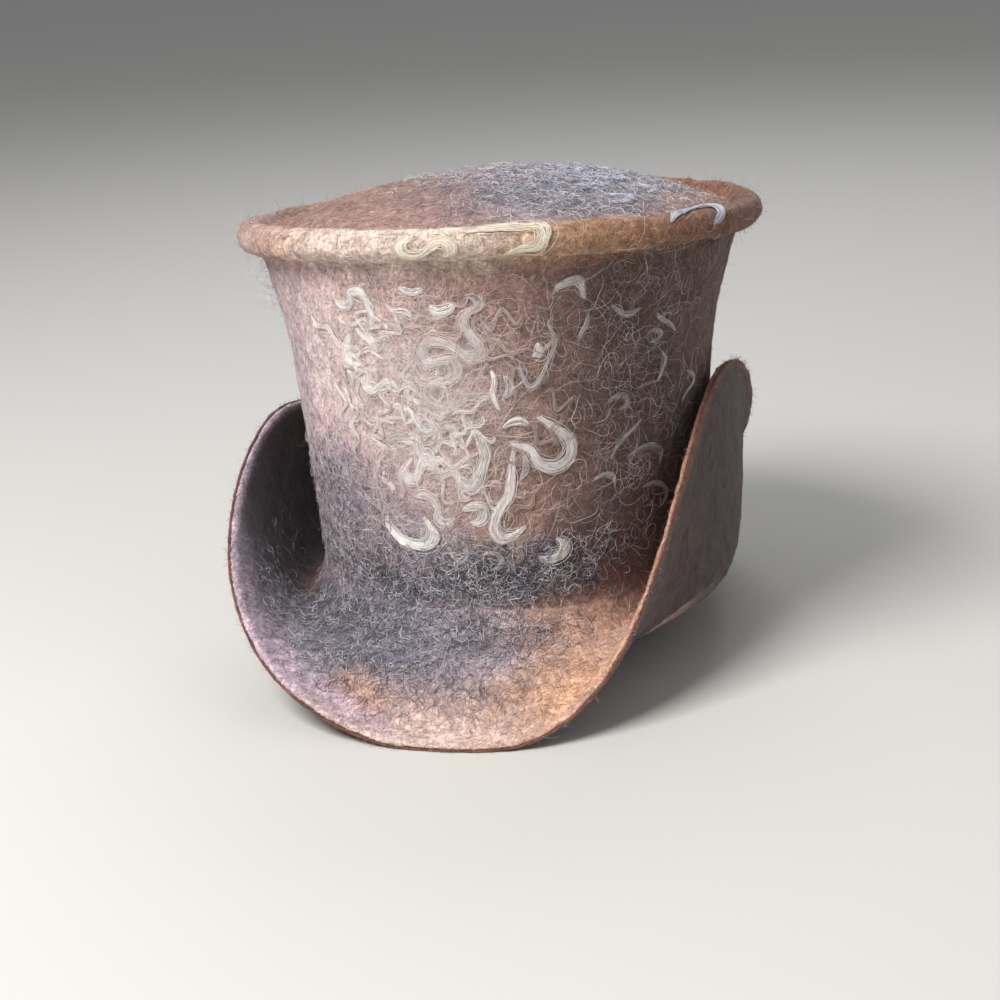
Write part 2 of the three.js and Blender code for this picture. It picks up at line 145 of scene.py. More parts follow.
def noise(points, size, seed):
    """Smooth noise from -1 to 1 at points (n, 3), with lumps about size across."""
    p = np.asarray(points) / size + 1000
    cell = np.floor(p).astype(np.int64)
    f = p - cell
    f = f * f * (3 - 2 * f)
    total = 0
    for di in (0, 1):
        for dj in (0, 1):
            for dk in (0, 1):
                weight = (
                    (f[:, 0] if di else 1 - f[:, 0])
                    * (f[:, 1] if dj else 1 - f[:, 1])
                    * (f[:, 2] if dk else 1 - f[:, 2])
                )
                total = total + weight * lattice(cell[:, 0] + di, cell[:, 1] + dj, cell[:, 2] + dk, seed)
    return total


# ---------------------------------------------------------------- the felt surfaces


def combined_tree(names):
    """One search tree over several CAD nodes, and the node index of each of its faces."""
    points, faces, owner = [], [], []
    for index, name in enumerate(names):
        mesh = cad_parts[name].data
        start = len(points)
        points += [v.co.copy() for v in mesh.vertices]
        for polygon in mesh.polygons:
            faces.append([start + v for v in polygon.vertices])
            owner.append(index)
    return BVHTree.FromPolygons(points, faces), np.array(owner)


ZONE = {name: index for index, name in enumerate(FELT_NODES)}


def mesh_arrays(mesh):
    count = len(mesh.vertices)
    co = np.empty(count * 3, np.float32)
    mesh.vertices.foreach_get("co", co)
    normal = np.empty(count * 3, np.float32)
    mesh.vertices.foreach_get("normal", normal)
    return co.reshape(-1, 3).astype(float), normal.reshape(-1, 3).astype(float)


def write_points(mesh, co):
    mesh.vertices.foreach_set("co", np.ascontiguousarray(co, np.float32).ravel())
    mesh.update()


def relaxed(mesh, co, rounds, weight):
    """Moves each point towards the mean of its neighbours, by its own weight, some rounds."""
    edges = np.empty(len(mesh.edges) * 2, np.int32)
    mesh.edges.foreach_get("vertices", edges)
    a, b = edges.reshape(-1, 2).T
    degree = np.bincount(a, minlength=len(co)) + np.bincount(b, minlength=len(co))
    for _ in range(rounds):
        mean = np.empty_like(co)
        for axis in range(3):
            total = np.bincount(a, co[b, axis], len(co)) + np.bincount(b, co[a, axis], len(co))
            mean[:, axis] = total / degree
        co = co + (mean - co) * weight[:, None]
    return co


SHARP = 0.9  # angle between two faces, in radians, over which their edge keeps its place


def creased_copy(mesh):
    """A welded copy whose sharp edges stay in place when it is softened."""
    work = bmesh.new()
    work.from_mesh(mesh)
    bmesh.ops.remove_doubles(work, verts=work.verts, dist=0.02 * MM)
    crease = work.edges.layers.float.new("crease_edge")
    for edge in work.edges:
        if len(edge.link_faces) == 2 and edge.calc_face_angle() > SHARP:
            edge[crease] = 0.9
    copy = bpy.data.meshes.new("copy")
    work.to_mesh(copy)
    work.free()
    return copy


TOP_REACH = 3.5 * MM  # how far the wall's top is carried up into the rim and the tip


def raise_top(mesh):
    """Carries the wall's top up, so that it becomes one felt with the rim and the tip."""
    co, _ = mesh_arrays(mesh)
    degrees, _ = around(co)
    top = np.array([co[np.abs(wrapped(degrees - d)) < 5, 2].max() for d in degrees])
    co[:, 2] += TOP_REACH * (co[:, 2] > top - 4 * MM)
    write_points(mesh, co)


TIP_REACH = 2.2 * MM  # how far the tip's edge is carried out into the rim


def widen_tip(mesh):
    """Carries the tip's edge out, so that no slit is left between it and the rim."""
    co, _ = mesh_arrays(mesh)
    out = co[:, :2] - co[:, :2].mean(0)
    co[:, :2] += out * (TIP_REACH / np.abs(out[:, 0]).max())
    write_points(mesh, co)


def felt_object(name, nodes, levels, swell, voxel=None):
    """A softened copy of CAD nodes. With a voxel size, they are joined into one closed surface."""
    co, faces = [], []
    for node in nodes:
        copy = creased_copy(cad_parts[node].data)
        if voxel and node == "crown_wall":
            raise_top(copy)
        if voxel and node == "crown_tip":
            widen_tip(copy)
        work = linked("work", copy)
        soften = work.modifiers.new("soften", "SUBSURF")
        soften.levels = levels
        bpy.context.view_layer.update()
        fine = work.evaluated_get(bpy.context.evaluated_depsgraph_get()).to_mesh()
        points, normals = mesh_arrays(fine)
        start = sum(len(c) for c in co)
        co.append(points + normals * swell)
        faces += [[start + v for v in polygon.vertices] for polygon in fine.polygons]
        bpy.data.objects.remove(work)
        bpy.data.meshes.remove(copy)
    mesh = bpy.data.meshes.new(name)
    mesh.from_pydata(np.concatenate(co).tolist(), [], faces)
    rough = linked("rough", mesh)
    if voxel:
        remesh = rough.modifiers.new("remesh", "REMESH")
        remesh.mode = "VOXEL"
        remesh.voxel_size = voxel
    bpy.context.view_layer.update()
    made = rough.evaluated_get(bpy.context.evaluated_depsgraph_get())
    result = bpy.data.meshes.new_from_object(made)
    bpy.data.objects.remove(rough)
    bpy.data.meshes.remove(mesh)
    result.name = name
    return linked(name, result)


def nearest_zone(co, names):
    """The CAD node that each point is nearest to, as an index into names."""
    tree, owner = combined_tree(names)
    return np.array([owner[tree.find_nearest(Vector(p))[2]] for p in co])


def foot_distance(co):
    """Metres from each point to the crown's foot line."""
    degrees, _ = around(co)
    return np.linalg.norm(co - foot_points(degrees), axis=1)


def around(co):
    """Angle round the hat in degrees, and height over the crown's foot in millimetres."""
    x = (co[:, 0] - CENTRE.x) / FOOT_SIDE
    y = (co[:, 1] - CENTRE.y) / FOOT_FRONT
    return np.degrees(np.arctan2(x, -y)), (co[:, 2] - FOOT_Z) / MM


def foot_points(degrees):
    a = np.radians(degrees)
    z = np.full(len(a), FOOT_Z)
    return np.stack([CENTRE.x + FOOT_SIDE * np.sin(a), CENTRE.y - FOOT_FRONT * np.cos(a), z], -1)


def edge_reach():
    """How far the brim's edge lies from the crown's foot, for each degree round the hat."""
    co, _ = mesh_arrays(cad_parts["brim_face"].data)
    degrees, _ = around(co)
    reach = foot_distance(co)
    bins = np.arange(-180, 181, 12)
    best = [reach[np.abs(wrapped(degrees - b)) < 9].max() for b in bins]
    return bins, np.array(best)


EDGE_BINS, EDGE_REACH = edge_reach()


def brim_share(co):
    """0 at the crown's foot and 1 at the brim's edge."""
    degrees, _ = around(co)
    return foot_distance(co) / np.interp(degrees, EDGE_BINS, EDGE_REACH)


def edge_tree():
    """A search tree of points along the brim's outer edge."""
    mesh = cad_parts["brim_face"].data
    work = bmesh.new()
    work.from_mesh(mesh)
    bmesh.ops.remove_doubles(work, verts=work.verts, dist=0.02 * MM)
    points = []
    for edge in work.edges:
        if len(edge.link_faces) == 2 and edge.calc_face_angle() > SHARP:
            a, b = (np.array(v.co) for v in edge.verts)
            if brim_share((a + b)[None] / 2)[0] > 0.5:
                points += [a + (b - a) * t for t in np.linspace(0, 1, 13)]
    work.free()
    tree = KDTree(len(points))
    for index, point in enumerate(points):
        tree.insert(point, index)
    tree.balance()
    return tree


EDGE_TREE = edge_tree()


def edge_distance(co):
    """Millimetres from each point to the brim's outer edge."""
    return np.array([EDGE_TREE.find(Vector(p))[2] for p in co]) / MM


# ---------------------------------------------------------------- colours of the wool, with painted light and shade

# Each patch: middle and half size along the zone's two directions, colour, strength.
# On the crown the directions are degrees round and millimetres up from the foot.
# Colours round the crown's wall: partly the wool's own colour, partly painted light at the front left and
# painted shade towards the right, away from the key lamp.
CROWN_ROUND_WITH_PAINTED_SHADING = [
    (-180, (128, 98, 88)), (-120, (140, 112, 106)), (-80, (165, 138, 138)), (-50, (196, 170, 170)),
    (-20, (222, 190, 188)), (5, (208, 174, 168)), (20, (176, 142, 132)), (40, (138, 106, 96)),
    (55, (112, 84, 76)), (75, (94, 68, 62)), (110, (108, 78, 68)), (150, (124, 92, 80)),
    (180, (128, 98, 88)),
]
CROWN_PATCHES = [
    (-10, 128, 26, 30, 238, 222, 220, 0.6), (4, 98, 22, 26, 230, 208, 202, 0.6),
    (12, 165, 22, 12, 186, 150, 140, 0.5), (-28, 100, 12, 14, 224, 190, 190, 0.5),
    (-48, 120, 12, 30, 170, 150, 160, 0.5), (-26, 72, 26, 22, 156, 146, 162, 0.75),
    (-4, 56, 26, 14, 150, 146, 160, 0.7), (22, 66, 18, 14, 196, 158, 142, 0.6),
    (32, 100, 12, 18, 180, 150, 142, 0.5), (-55, 40, 16, 40, 104, 78, 78, 0.7),
    (-34, 24, 20, 18, 112, 100, 112, 0.7), (-4, 30, 20, 11, 92, 92, 106, 0.9),
    (16, 36, 18, 9, 84, 82, 92, 0.9), (35, 42, 14, 10, 78, 70, 74, 0.9),
    (48, 58, 12, 16, 92, 74, 74, 0.7), (22, 22, 14, 8, 150, 116, 108, 0.6),
    (40, 20, 14, 9, 118, 100, 100, 0.6), (2, 8, 26, 9, 150, 142, 156, 0.6),
    (34, 4, 20, 10, 184, 146, 132, 0.8), (60, 18, 12, 14, 136, 100, 92, 0.6),
    (-130, 60, 30, 40, 150, 132, 146, 0.5), (140, 60, 30, 36, 92, 72, 72, 0.6),
    (180, 120, 30, 40, 168, 138, 130, 0.5), (158, 160, 36, 24, 176, 134, 114, 0.6),
    (-150, 84, 26, 40, 152, 126, 130, 0.6), (112, 110, 24, 40, 142, 102, 84, 0.6),
    (-104, 120, 20, 44, 158, 128, 124, 0.5), (-170, 24, 40, 18, 104, 80, 76, 0.6),
]
# Colours round the rolled rim: the wool's own colour, with painted shade on the right, darkest at about 85
# degrees, away from the key lamp.
RIM_ROUND_WITH_PAINTED_SHADE = [
    (-180, (150, 104, 80)), (-120, (156, 118, 100)), (-75, (176, 140, 130)), (-52, (190, 154, 146)),
    (-36, (208, 168, 150)), (-22, (228, 200, 184)), (0, (232, 210, 196)), (20, (230, 206, 190)),
    (31, (208, 170, 142)), (40, (190, 146, 112)), (52, (172, 126, 92)), (66, (150, 102, 76)),
    (85, (124, 80, 60)), (120, (146, 94, 68)), (180, (150, 104, 80)),
]
# On the tip the directions are millimetres towards +X and towards the back.
TIP_BASE = (172, 132, 120)
TIP_PATCHES = [
    (-50, 44, 46, 34, 186, 176, 202, 0.9), (-6, 70, 50, 28, 186, 178, 206, 0.9),
    (-46, -46, 46, 36, 148, 114, 102, 0.9), (-78, 10, 24, 50, 170, 122, 102, 0.7),
    (0, -10, 30, 30, 140, 114, 114, 0.8), (10, -60, 30, 30, 136, 110, 110, 0.8),
    (34, 14, 30, 30, 150, 142, 156, 0.8), (48, -30, 34, 50, 142, 138, 152, 0.9),
    (60, 46, 30, 26, 146, 146, 164, 0.7), (98, 30, 20, 50, 158, 106, 82, 0.9),
    (16, 26, 30, 16, 184, 178, 204, 0.6), (84, -50, 24, 24, 128, 104, 104, 0.7),
]
# On the brim the directions are degrees round, and 0 to 100 from the foot to the edge.
BRIM_ROUND = [
    (-180, (104, 76, 66)), (-140, (74, 58, 58)), (-100, (58, 48, 52)), (-70, (66, 56, 62)),
    (-50, (110, 104, 116)), (-30, (146, 138, 150)), (0, (186, 160, 160)), (30, (208, 168, 148)),
    (55, (200, 152, 128)), (72, (140, 100, 90)), (90, (62, 50, 50)), (130, (64, 50, 48)),
    (180, (104, 76, 66)),
]
BRIM_PATCHES = [
    (-22, 24, 26, 16, 104, 98, 110, 0.8), (-4, 40, 16, 22, 124, 124, 140, 0.9),
    (-30, 44, 18, 14, 136, 132, 146, 0.6), (12, 36, 12, 12, 180, 168, 182, 0.8),
    (20, 22, 14, 10, 150, 136, 140, 0.7), (-10, 68, 9, 9, 206, 158, 132, 0.8),
    (-34, 84, 16, 16, 184, 162, 182, 0.8), (-14, 88, 12, 12, 200, 172, 184, 0.8),
    (12, 84, 14, 16, 240, 208, 194, 0.8), (40, 72, 16, 20, 226, 176, 140, 0.8),
    (50, 40, 16, 16, 204, 164, 144, 0.7), (64, 22, 12, 14, 180, 142, 134, 0.7),
    (60, 8, 20, 9, 120, 100, 100, 0.6), (-75, 60, 30, 60, 52, 44, 50, 0.7),
    (-62, 8, 16, 12, 112, 66, 52, 0.7), (-60, 40, 12, 20, 92, 84, 94, 0.5),
    (160, 60, 30, 30, 140, 104, 86, 0.6),
]
EDGE_ROUND = [
    (-180, (176, 130, 104)), (-110, (170, 146, 156)), (-70, (196, 178, 194)), (-30, (214, 190, 200)),
    (0, (240, 210, 198)), (35, (222, 174, 146)), (70, (196, 146, 120)), (110, (170, 116, 92)),
    (180, (176, 130, 104)),
]
UNDER_ROUND = [
    (-180, (84, 56, 48)), (-60, (70, 48, 46)), (20, (84, 56, 48)), (90, (64, 44, 42)),
    (180, (84, 56, 48)),
]
UNDER_EDGE = (136, 84, 64)
LINING = (92, 74, 70)


def round_colour(table, degrees):
    angles = [angle for angle, _ in table]
    colours = np.array([linear(colour) for _, colour in table])
    return np.stack([np.interp(degrees, angles, colours[:, channel]) for channel in range(3)], -1)


def with_patches(colour, u, v, patches, wrap=False):
    for mid_u, mid_v, half_u, half_v, *patch, strength in patches:
        du = wrapped(u - mid_u) if wrap else u - mid_u
        away = (du / half_u) ** 2 + ((v - mid_v) / half_v) ** 2
        share = (strength * np.exp(-0.9 * away ** 1.4))[:, None]
        colour = mixed(colour, linear(patch), share)
    return colour


WALL_RIM = (WALL_HIGH.z - FOOT_Z) / MM - 6  # height where the wall's colours give way to the rim's


def felt_colour_with_painted_shading(co, zone, inside):
    """The felt's colour at points of it, before its fine mottling: the wool's own colour, with painted
    light and painted shade round the crown and the rim.
    """
    warp = np.stack([noise(co, 22 * MM, s) + 0.6 * noise(co, 9 * MM, s + 5) for s in (1, 2)], -1)
    degrees, height = around(co)
    degrees = wrapped(degrees + 5 * warp[:, 0])
    up = height + 5 * warp[:, 1]
    # The crown's and the rim's colours round the hat carry painted light and painted shade as well as the
    # wool's colour.
    crown = with_patches(round_colour(CROWN_ROUND_WITH_PAINTED_SHADING, degrees), degrees, up, CROWN_PATCHES, True)
    rim = 0.88 * round_colour(RIM_ROUND_WITH_PAINTED_SHADE, degrees)
    rim_share = eased(height + 2 * warp[:, 1], WALL_RIM - 4, WALL_RIM + 4)[:, None]
    crown = mixed(crown, rim, rim_share)
    x = (co[:, 0] - CENTRE.x) / MM + 6 * warp[:, 0]
    y = (co[:, 1] - CENTRE.y) / MM + 6 * warp[:, 1]
    tip_base = np.broadcast_to(linear(TIP_BASE), co.shape)
    tip = with_patches(tip_base, x, y, TIP_PATCHES)
    out = 100 * brim_share(co)
    brim = round_colour(BRIM_ROUND, degrees)
    brim = with_patches(brim, degrees, out + 5 * warp[:, 1], BRIM_PATCHES, True)
    to_edge = np.where(out > 60, edge_distance(co), 99)
    edge = round_colour(EDGE_ROUND, degrees)
    brim = mixed(brim, edge, (0.9 * (1 - eased(to_edge, 1.6, 3.6)))[:, None])
    under = round_colour(UNDER_ROUND, degrees)
    under = mixed(under, linear(UNDER_EDGE), (0.8 * (1 - eased(to_edge, 2.5, 5)))[:, None])
    picked = np.select(
        [(zone == ZONE[name])[:, None] for name in ("crown_tip", "tip_rim", "brim_face", "brim_base")],
        [tip, rim, brim, under],
        crown,
    )
    return 0.93 * mixed(picked, linear(LINING), (0.8 * inside)[:, None])


def flecked(colour, co, seed):
    """Fine speckle of lighter and darker wool over a colour."""
    fleck = noise(co, 1.6 * MM, seed) + 0.8 * noise(co, 0.8 * MM, seed + 1)
    broad = noise(co, 6 * MM, seed + 2)
    return np.clip(colour * np.exp(0.4 * fleck + 0.24 * broad)[:, None], 0.004, 0.95)


def set_colours(mesh, colour):
    rgba = np.ones((len(colour), 4), np.float32)
    rgba[:, :3] = colour
    attribute = mesh.color_attributes.new("wool", "FLOAT_COLOR", "POINT")
    attribute.data.foreach_set("color", rgba.ravel())


# ---------------------------------------------------------------- materials


def node_material(name):
    material = bpy.data.materials.new(name)
    material.use_nodes = True
    tree = material.node_tree
    return material, tree, tree.nodes["Principled BSDF"]


def wire(tree, source, output, target, entry):
    tree.links.new(source.outputs[output], target.inputs[entry])


def set_sockets(node, **values):
    """Sets a node's sockets, whose names are written with _ for a space."""
    for name, value in values.items():
        node.inputs[name.replace("_", " ")].default_value = value


def wool_attribute(tree):
    attribute = tree.nodes.new("ShaderNodeVertexColor")
    attribute.layer_name = "wool"
    return attribute


def noise_node(tree, scale, detail):
    texture = tree.nodes.new("ShaderNodeTexNoise")
    coordinates = tree.nodes.new("ShaderNodeTexCoord")
    wire(tree, coordinates, "Object", texture, "Vector")
    set_sockets(texture, Scale=scale, Detail=detail)
    return texture


MIX_A, MIX_B, MIX_RESULT = 6, 7, 2  # the colour sockets of a mix node


def felt_material():
    material, tree, shader = node_material("felt")
    attribute = wool_attribute(tree)
    mottle = noise_node(tree, 900, 4)
    ramp = tree.nodes.new("ShaderNodeValToRGB")
    ramp.color_ramp.elements[0].position = 0.32
    ramp.color_ramp.elements[0].color = (0.5, 0.48, 0.48, 1)
    ramp.color_ramp.elements[1].position = 0.66
    ramp.color_ramp.elements[1].color = (1.3, 1.3, 1.3, 1)
    wire(tree, mottle, "Fac", ramp, "Fac")
    mix = tree.nodes.new("ShaderNodeMix")
    mix.data_type = "RGBA"
    mix.blend_type = "MULTIPLY"
    mix.inputs["Factor"].default_value = 0.7
    wire(tree, attribute, "Color", mix, MIX_A)
    wire(tree, ramp, "Color", mix, MIX_B)
    wire(tree, mix, MIX_RESULT, shader, "Base Color")
    set_sockets(shader, Roughness=0.95, Specular_IOR_Level=0.15, Sheen_Weight=0.25, Sheen_Roughness=0.6)
    nap = noise_node(tree, 1400, 5)
    bump = tree.nodes.new("ShaderNodeBump")
    set_sockets(bump, Strength=0.9, Distance=0.5 * MM)
    wire(tree, nap, "Fac", bump, "Height")
    wire(tree, bump, "Normal", shader, "Normal")
    return material


def fibre_material(name, roughness, specular, sheen):
    material, tree, shader = node_material(name)
    attribute = wool_attribute(tree)
    streak = noise_node(tree, 260, 2)
    ramp = tree.nodes.new("ShaderNodeMapRange")
    set_sockets(ramp, To_Min=roughness - 0.08, To_Max=roughness + 0.08)
    wire(tree, streak, "Fac", ramp, "Value")
    wire(tree, ramp, "Result", shader, "Roughness")
    wire(tree, attribute, "Color", shader, "Base Color")
    set_sockets(shader, Specular_IOR_Level=specular, Sheen_Weight=sheen)
    return material


FELT = felt_material()
FIBRE = fibre_material("wool_fibre", 0.7, 0.25, 0.3)
LUSTRE = fibre_material("lustrous_fleece", 0.4, 0.5, 0.2)


# ---------------------------------------------------------------- felt bodies


def lumpy(mesh, co, normal, zone):
    """Pushes the felt out and in by the soft unevenness of hand felting."""
    rim = (zone == ZONE["tip_rim"]).astype(float)
    lump = 0.55 * noise(co, 11 * MM, 31) + 0.30 * noise(co, 5 * MM, 32) + 0.22 * noise(co, 2.4 * MM, 33)
    lump = lump + rim * 0.9 * noise(co, 26 * MM, 34)
    thin = np.where((zone == ZONE["brim_face"]) | (zone == ZONE["brim_base"]), 0.55, 1.0)
    return co + normal * (lump * thin * MM)[:, None]


SATURATION = 0.95
RELAX = 0.6  # how far one round of relaxing moves a point towards its neighbours
FOOT_BEND, FOOT_SPREAD = 18, 13  # millimetres up to the smoothed bend at the foot, and its reach
RIM_BELOW, RIM_SPREAD = 6, 7  # the same for the bend under the rim, down from WALL_RIM
UPPER_SINK = 0.9 * MM  # how far the joined felt sinks under the brim's under layer
UNDER_SINK = 0.8 * MM  # how far the under layer sinks into the joined felt near the foot


def finish_felt(felt, joins):
    """Smooths, roughens and colours a felt body. joins says that it is the one with the crown."""
    mesh = felt.data
    co, _ = mesh_arrays(mesh)
    co = relaxed(mesh, co, 5, np.full(len(co), 0.45))
    if joins:
        _, height = around(co)
        near_foot = np.exp(-((height - FOOT_BEND) / FOOT_SPREAD) ** 2) * (brim_share(co) < 0.7)
        co = relaxed(mesh, co, 120, RELAX * near_foot)
        below_rim = np.exp(-((height - WALL_RIM + RIM_BELOW) / RIM_SPREAD) ** 2)
        co = relaxed(mesh, co, 36, RELAX * below_rim)
    write_points(mesh, co)
    co, normal = mesh_arrays(mesh)
    if joins:
        zone = nearest_zone(co, UPPER_NODES)
        in_under = nearest_zone(co, FELT_NODES) == ZONE["brim_base"]
        beneath = in_under * eased(foot_distance(co), 16 * MM, 22 * MM)
        co = co - normal * (beneath * UPPER_SINK)[:, None]
    else:
        zone = np.full(len(co), ZONE["brim_base"])
        beneath = np.zeros(len(co))
        sunk = 1 - eased(foot_distance(co), 14 * MM, 20 * MM)
        co = co - normal * (sunk * UNDER_SINK)[:, None]
    co = lumpy(mesh, co, normal, zone)
    if not joins:
        co[:, 2] = np.maximum(co[:, 2], 0.0)
    write_points(mesh, co)
    co, normal = mesh_arrays(mesh)
    outwards = unit(co[:, :2] - np.array([CENTRE.x, CENTRE.y]))
    inwards = -np.einsum("ij,ij->i", normal[:, :2], outwards)
    inside = (zone == ZONE["crown_wall"]) & (inwards > 0.2)
    inside |= (zone == ZONE["crown_tip"]) & (normal[:, 2] < -0.2)
    base = felt_colour_with_painted_shading(co, zone, inside.astype(float))
    base = relaxed(mesh, base, 6, np.full(len(co), RELAX))
    if joins:
        base = relaxed(mesh, base, 60, RELAX * near_foot)
    base = mixed(base.mean(1, keepdims=True), base, SATURATION)
    set_colours(mesh, flecked(base, co, 50))
    mesh.materials.clear()
    mesh.materials.append(FELT)
    mesh.shade_smooth()
    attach(felt, "root")
    hidden = inside | (beneath > 0.05)
    return {"co": co, "normal": normal, "zone": zone, "inside": hidden, "base": base}


upper = felt_object("felt_crown_and_brim", FELT_NODES, 2, 0.3 * MM, 1.2 * MM)
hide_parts(*UPPER_NODES)
upper_felt = finish_felt(upper, True)

under = felt_object("felt_brim_under_layer", ["brim_base"], 3, 0.1 * MM)
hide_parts("brim_base")
under_felt = finish_felt(under, False)

for piece, piece_felt in ((upper, upper_felt), (under, under_felt)):
    piece_felt["tree"] = BVHTree.FromObject(piece, bpy.context.evaluated_depsgraph_get())


# ---------------------------------------------------------------- strands


def strand_object(name, paths, radius, normals, colour, material, flat=0.8):
    """Many strands as one mesh of thin rods with a ridge. paths is (n, k, 3), radius (n, k).

    flat is the height of a strand's ridge as a share of its radius.
    """
    count, steps = paths.shape[:2]
    along = unit(np.gradient(paths, axis=1))
    side = unit(np.cross(along, normals))
    up = np.cross(side, along) * flat
    rings = []
    for turn in (0, 90, 180):
        c, s = math.cos(math.radians(turn)), math.sin(math.radians(turn))
        rings.append(paths + radius[..., None] * (side * c + up * s))
    points = np.stack(rings, 2).reshape(-1, 3)
    points[:, 2] = np.maximum(points[:, 2], 0.0)
    first = (np.arange(count)[:, None] * steps + np.arange(steps - 1)[None, :]) * 3
    quads = []
    for a, b in ((0, 1), (1, 2), (2, 0)):
        quads.append(np.stack([first + a, first + 3 + a, first + 3 + b, first + b], -1))
    quads = np.stack(quads, 2).reshape(-1, 4)
    start = np.arange(count) * steps * 3
    stop = start + (steps - 1) * 3
    ends = ([start, start + 1, start + 2], [stop + 2, stop + 1, stop])
    caps = np.concatenate([np.stack(end, -1) for end in ends])
    mesh = bpy.data.meshes.new(name)
    mesh.vertices.add(len(points))
    mesh.vertices.foreach_set("co", points.astype(np.float32).ravel())
    corners = np.concatenate([quads.ravel(), caps.ravel()]).astype(np.int32)
    mesh.loops.add(len(corners))
    mesh.loops.foreach_set("vertex_index", corners)
    begins = np.concatenate([np.arange(len(quads)) * 4, len(quads) * 4 + np.arange(len(caps)) * 3])
    mesh.polygons.add(len(begins))
    mesh.polygons.foreach_set("loop_start", begins.astype(np.int32))
    mesh.update(calc_edges=True)
    mesh.validate()
    rgb = np.broadcast_to(colour[:, None, None, :], (count, steps, 3, 3)).reshape(-1, 3)
    set_colours(mesh, rgb)
    mesh.materials.append(material)
    piece = linked(name, mesh)
    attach(piece, "root")
    return piece


def settled(points, tree, lift):
    """Points (n, 3) moved onto a felt surface and raised from it by lift (n). Also the normals."""
    place = np.empty_like(points)
    normal = np.empty_like(points)
    for i, p in enumerate(points):
        hit, facing, _, _ = tree.find_nearest(Vector(p))
        place[i] = hit
        normal[i] = facing
    return place + normal * lift[:, None], normal


def sampled(weight, count):
    """Random vertices of a felt surface, chosen by a weight for each."""
    return rng.choice(len(weight), size=count, p=weight / weight.sum())


def fibre_colours(felt, chosen, palette, share, spread):
    """The felt's own colour, or for a share of the fibres one of the palette's, a little varied."""
    count = len(chosen)
    picked = linear(np.array(palette)[rng.integers(0, len(palette), count)])
    own = rng.random((count, 1)) > share
    colour = np.where(own, felt["base"][chosen], picked)
    brighter = np.exp(rng.normal(0.12, spread, (count, 1)))
    return np.clip(colour * brighter, 0.003, 0.95)


def fuzz(name, felt, weight, count, steps, length, radius, lift, thick,
         palette, share, spread, material=FIBRE):
    """Curly fibres that lie on the felt and stand a little out of it. Lengths are in millimetres."""
    chosen = sampled(weight, count)
    start, normal = felt["co"][chosen], felt["normal"][chosen]
    random = rng.normal(size=(count, 3))
    heading = unit(random - normal * np.einsum("ij,ij->i", random, normal)[:, None])
    across = np.cross(normal, heading)
    step = rng.uniform(*length, count)[:, None] * MM / (steps - 1)
    turn = step / (rng.uniform(*radius, count)[:, None] * MM) * rng.choice((-1, 1), (count, 1))
    phase = rng.uniform(0, 6.3, (count, 1))
    sway = np.sin(phase + np.linspace(0, 1, steps) * rng.uniform(0, 9, (count, 1)))
    angle = np.cumsum(turn * (0.55 + 0.7 * sway), axis=1)
    reach = heading[:, None] * np.cos(angle)[..., None] + across[:, None] * np.sin(angle)[..., None]
    walk = np.cumsum(step[:, :, None] * reach, axis=1)
    flat = (start[:, None] + walk - walk.mean(1, keepdims=True)).reshape(-1, 3)
    bow = np.sin(np.linspace(0.1, math.pi - 0.1, steps))
    high = (rng.uniform(*lift, count)[:, None] * MM * bow).ravel()
    paths, normals = settled(flat, felt["tree"], high)
    taper = np.interp(np.linspace(0, 1, steps), (0, 0.2, 0.8, 1), (0.4, 1, 1, 0.4))
    width = rng.uniform(*thick, count)[:, None] * MM * taper
    shape = (count, steps, 3)
    colour = fibre_colours(felt, chosen, palette, share, spread)
    piece = strand_object(name, paths.reshape(shape), width, normals.reshape(shape), colour, material)


def stray_hairs(name, felt, weight, count, steps, length, radius, thick, palette, share, spread):
    """Loose hairs that grow out of the felt and curl away from it."""
    chosen = sampled(weight, count)
    start, normal = felt["co"][chosen], felt["normal"][chosen]
    heading = unit(normal + 0.7 * rng.normal(size=(count, 3)))
    heading = np.where(np.einsum("ij,ij->i", heading, normal)[:, None] < 0.2, normal, heading)
    axis = unit(rng.normal(size=(count, 3)))
    step = rng.uniform(*length, count)[:, None] * MM / (steps - 1)
    turn = step / (rng.uniform(*radius, count)[:, None] * MM)
    here = start - normal * 0.2 * MM
    places = [here]
    for _ in range(steps - 1):
        heading = unit(heading + np.cross(axis, heading) * turn)
        here = here + heading * step
        places.append(here)
    paths = np.stack(places, 1)
    paths[..., 2] = np.maximum(paths[..., 2], 0.3 * MM)
    width = rng.uniform(*thick, count)[:, None] * MM * np.linspace(1, 0.5, steps)
    facing = np.broadcast_to(axis[:, None], paths.shape)
    colour = fibre_colours(felt, chosen, palette, share, spread)
    piece = strand_object(name, paths, width, facing, colour, FIBRE)


def spot(u, v, middle, half):
    away = (wrapped(u - middle[0]) / half[0]) ** 2 + ((v - middle[1]) / half[1]) ** 2
    return np.exp(-0.9 * away ** 1.4)


UP_DEGREES, UP_HEIGHT = around(upper_felt["co"])
UP_OUT = 100 * brim_share(upper_felt["co"])
UP_X = (upper_felt["co"][:, 0] - CENTRE.x) / MM
UP_Y = (upper_felt["co"][:, 1] - CENTRE.y) / MM
OUTSIDE = np.where(upper_felt["inside"], 0.0, 1.0)
ON = {name: OUTSIDE * (upper_felt["zone"] == ZONE[name]) for name in UPPER_NODES}

CREAM = (255, 246, 241)
IVORY = (255, 238, 218)
SMOKE = (212, 206, 204)
BLUE = (216, 220, 236)
CHARCOAL = (52, 50, 56)
UMBER = (84, 58, 48)
LAVENDER = (176, 170, 186)


def on_wall(middle, half):
    return spot(UP_DEGREES, UP_HEIGHT, middle, half)


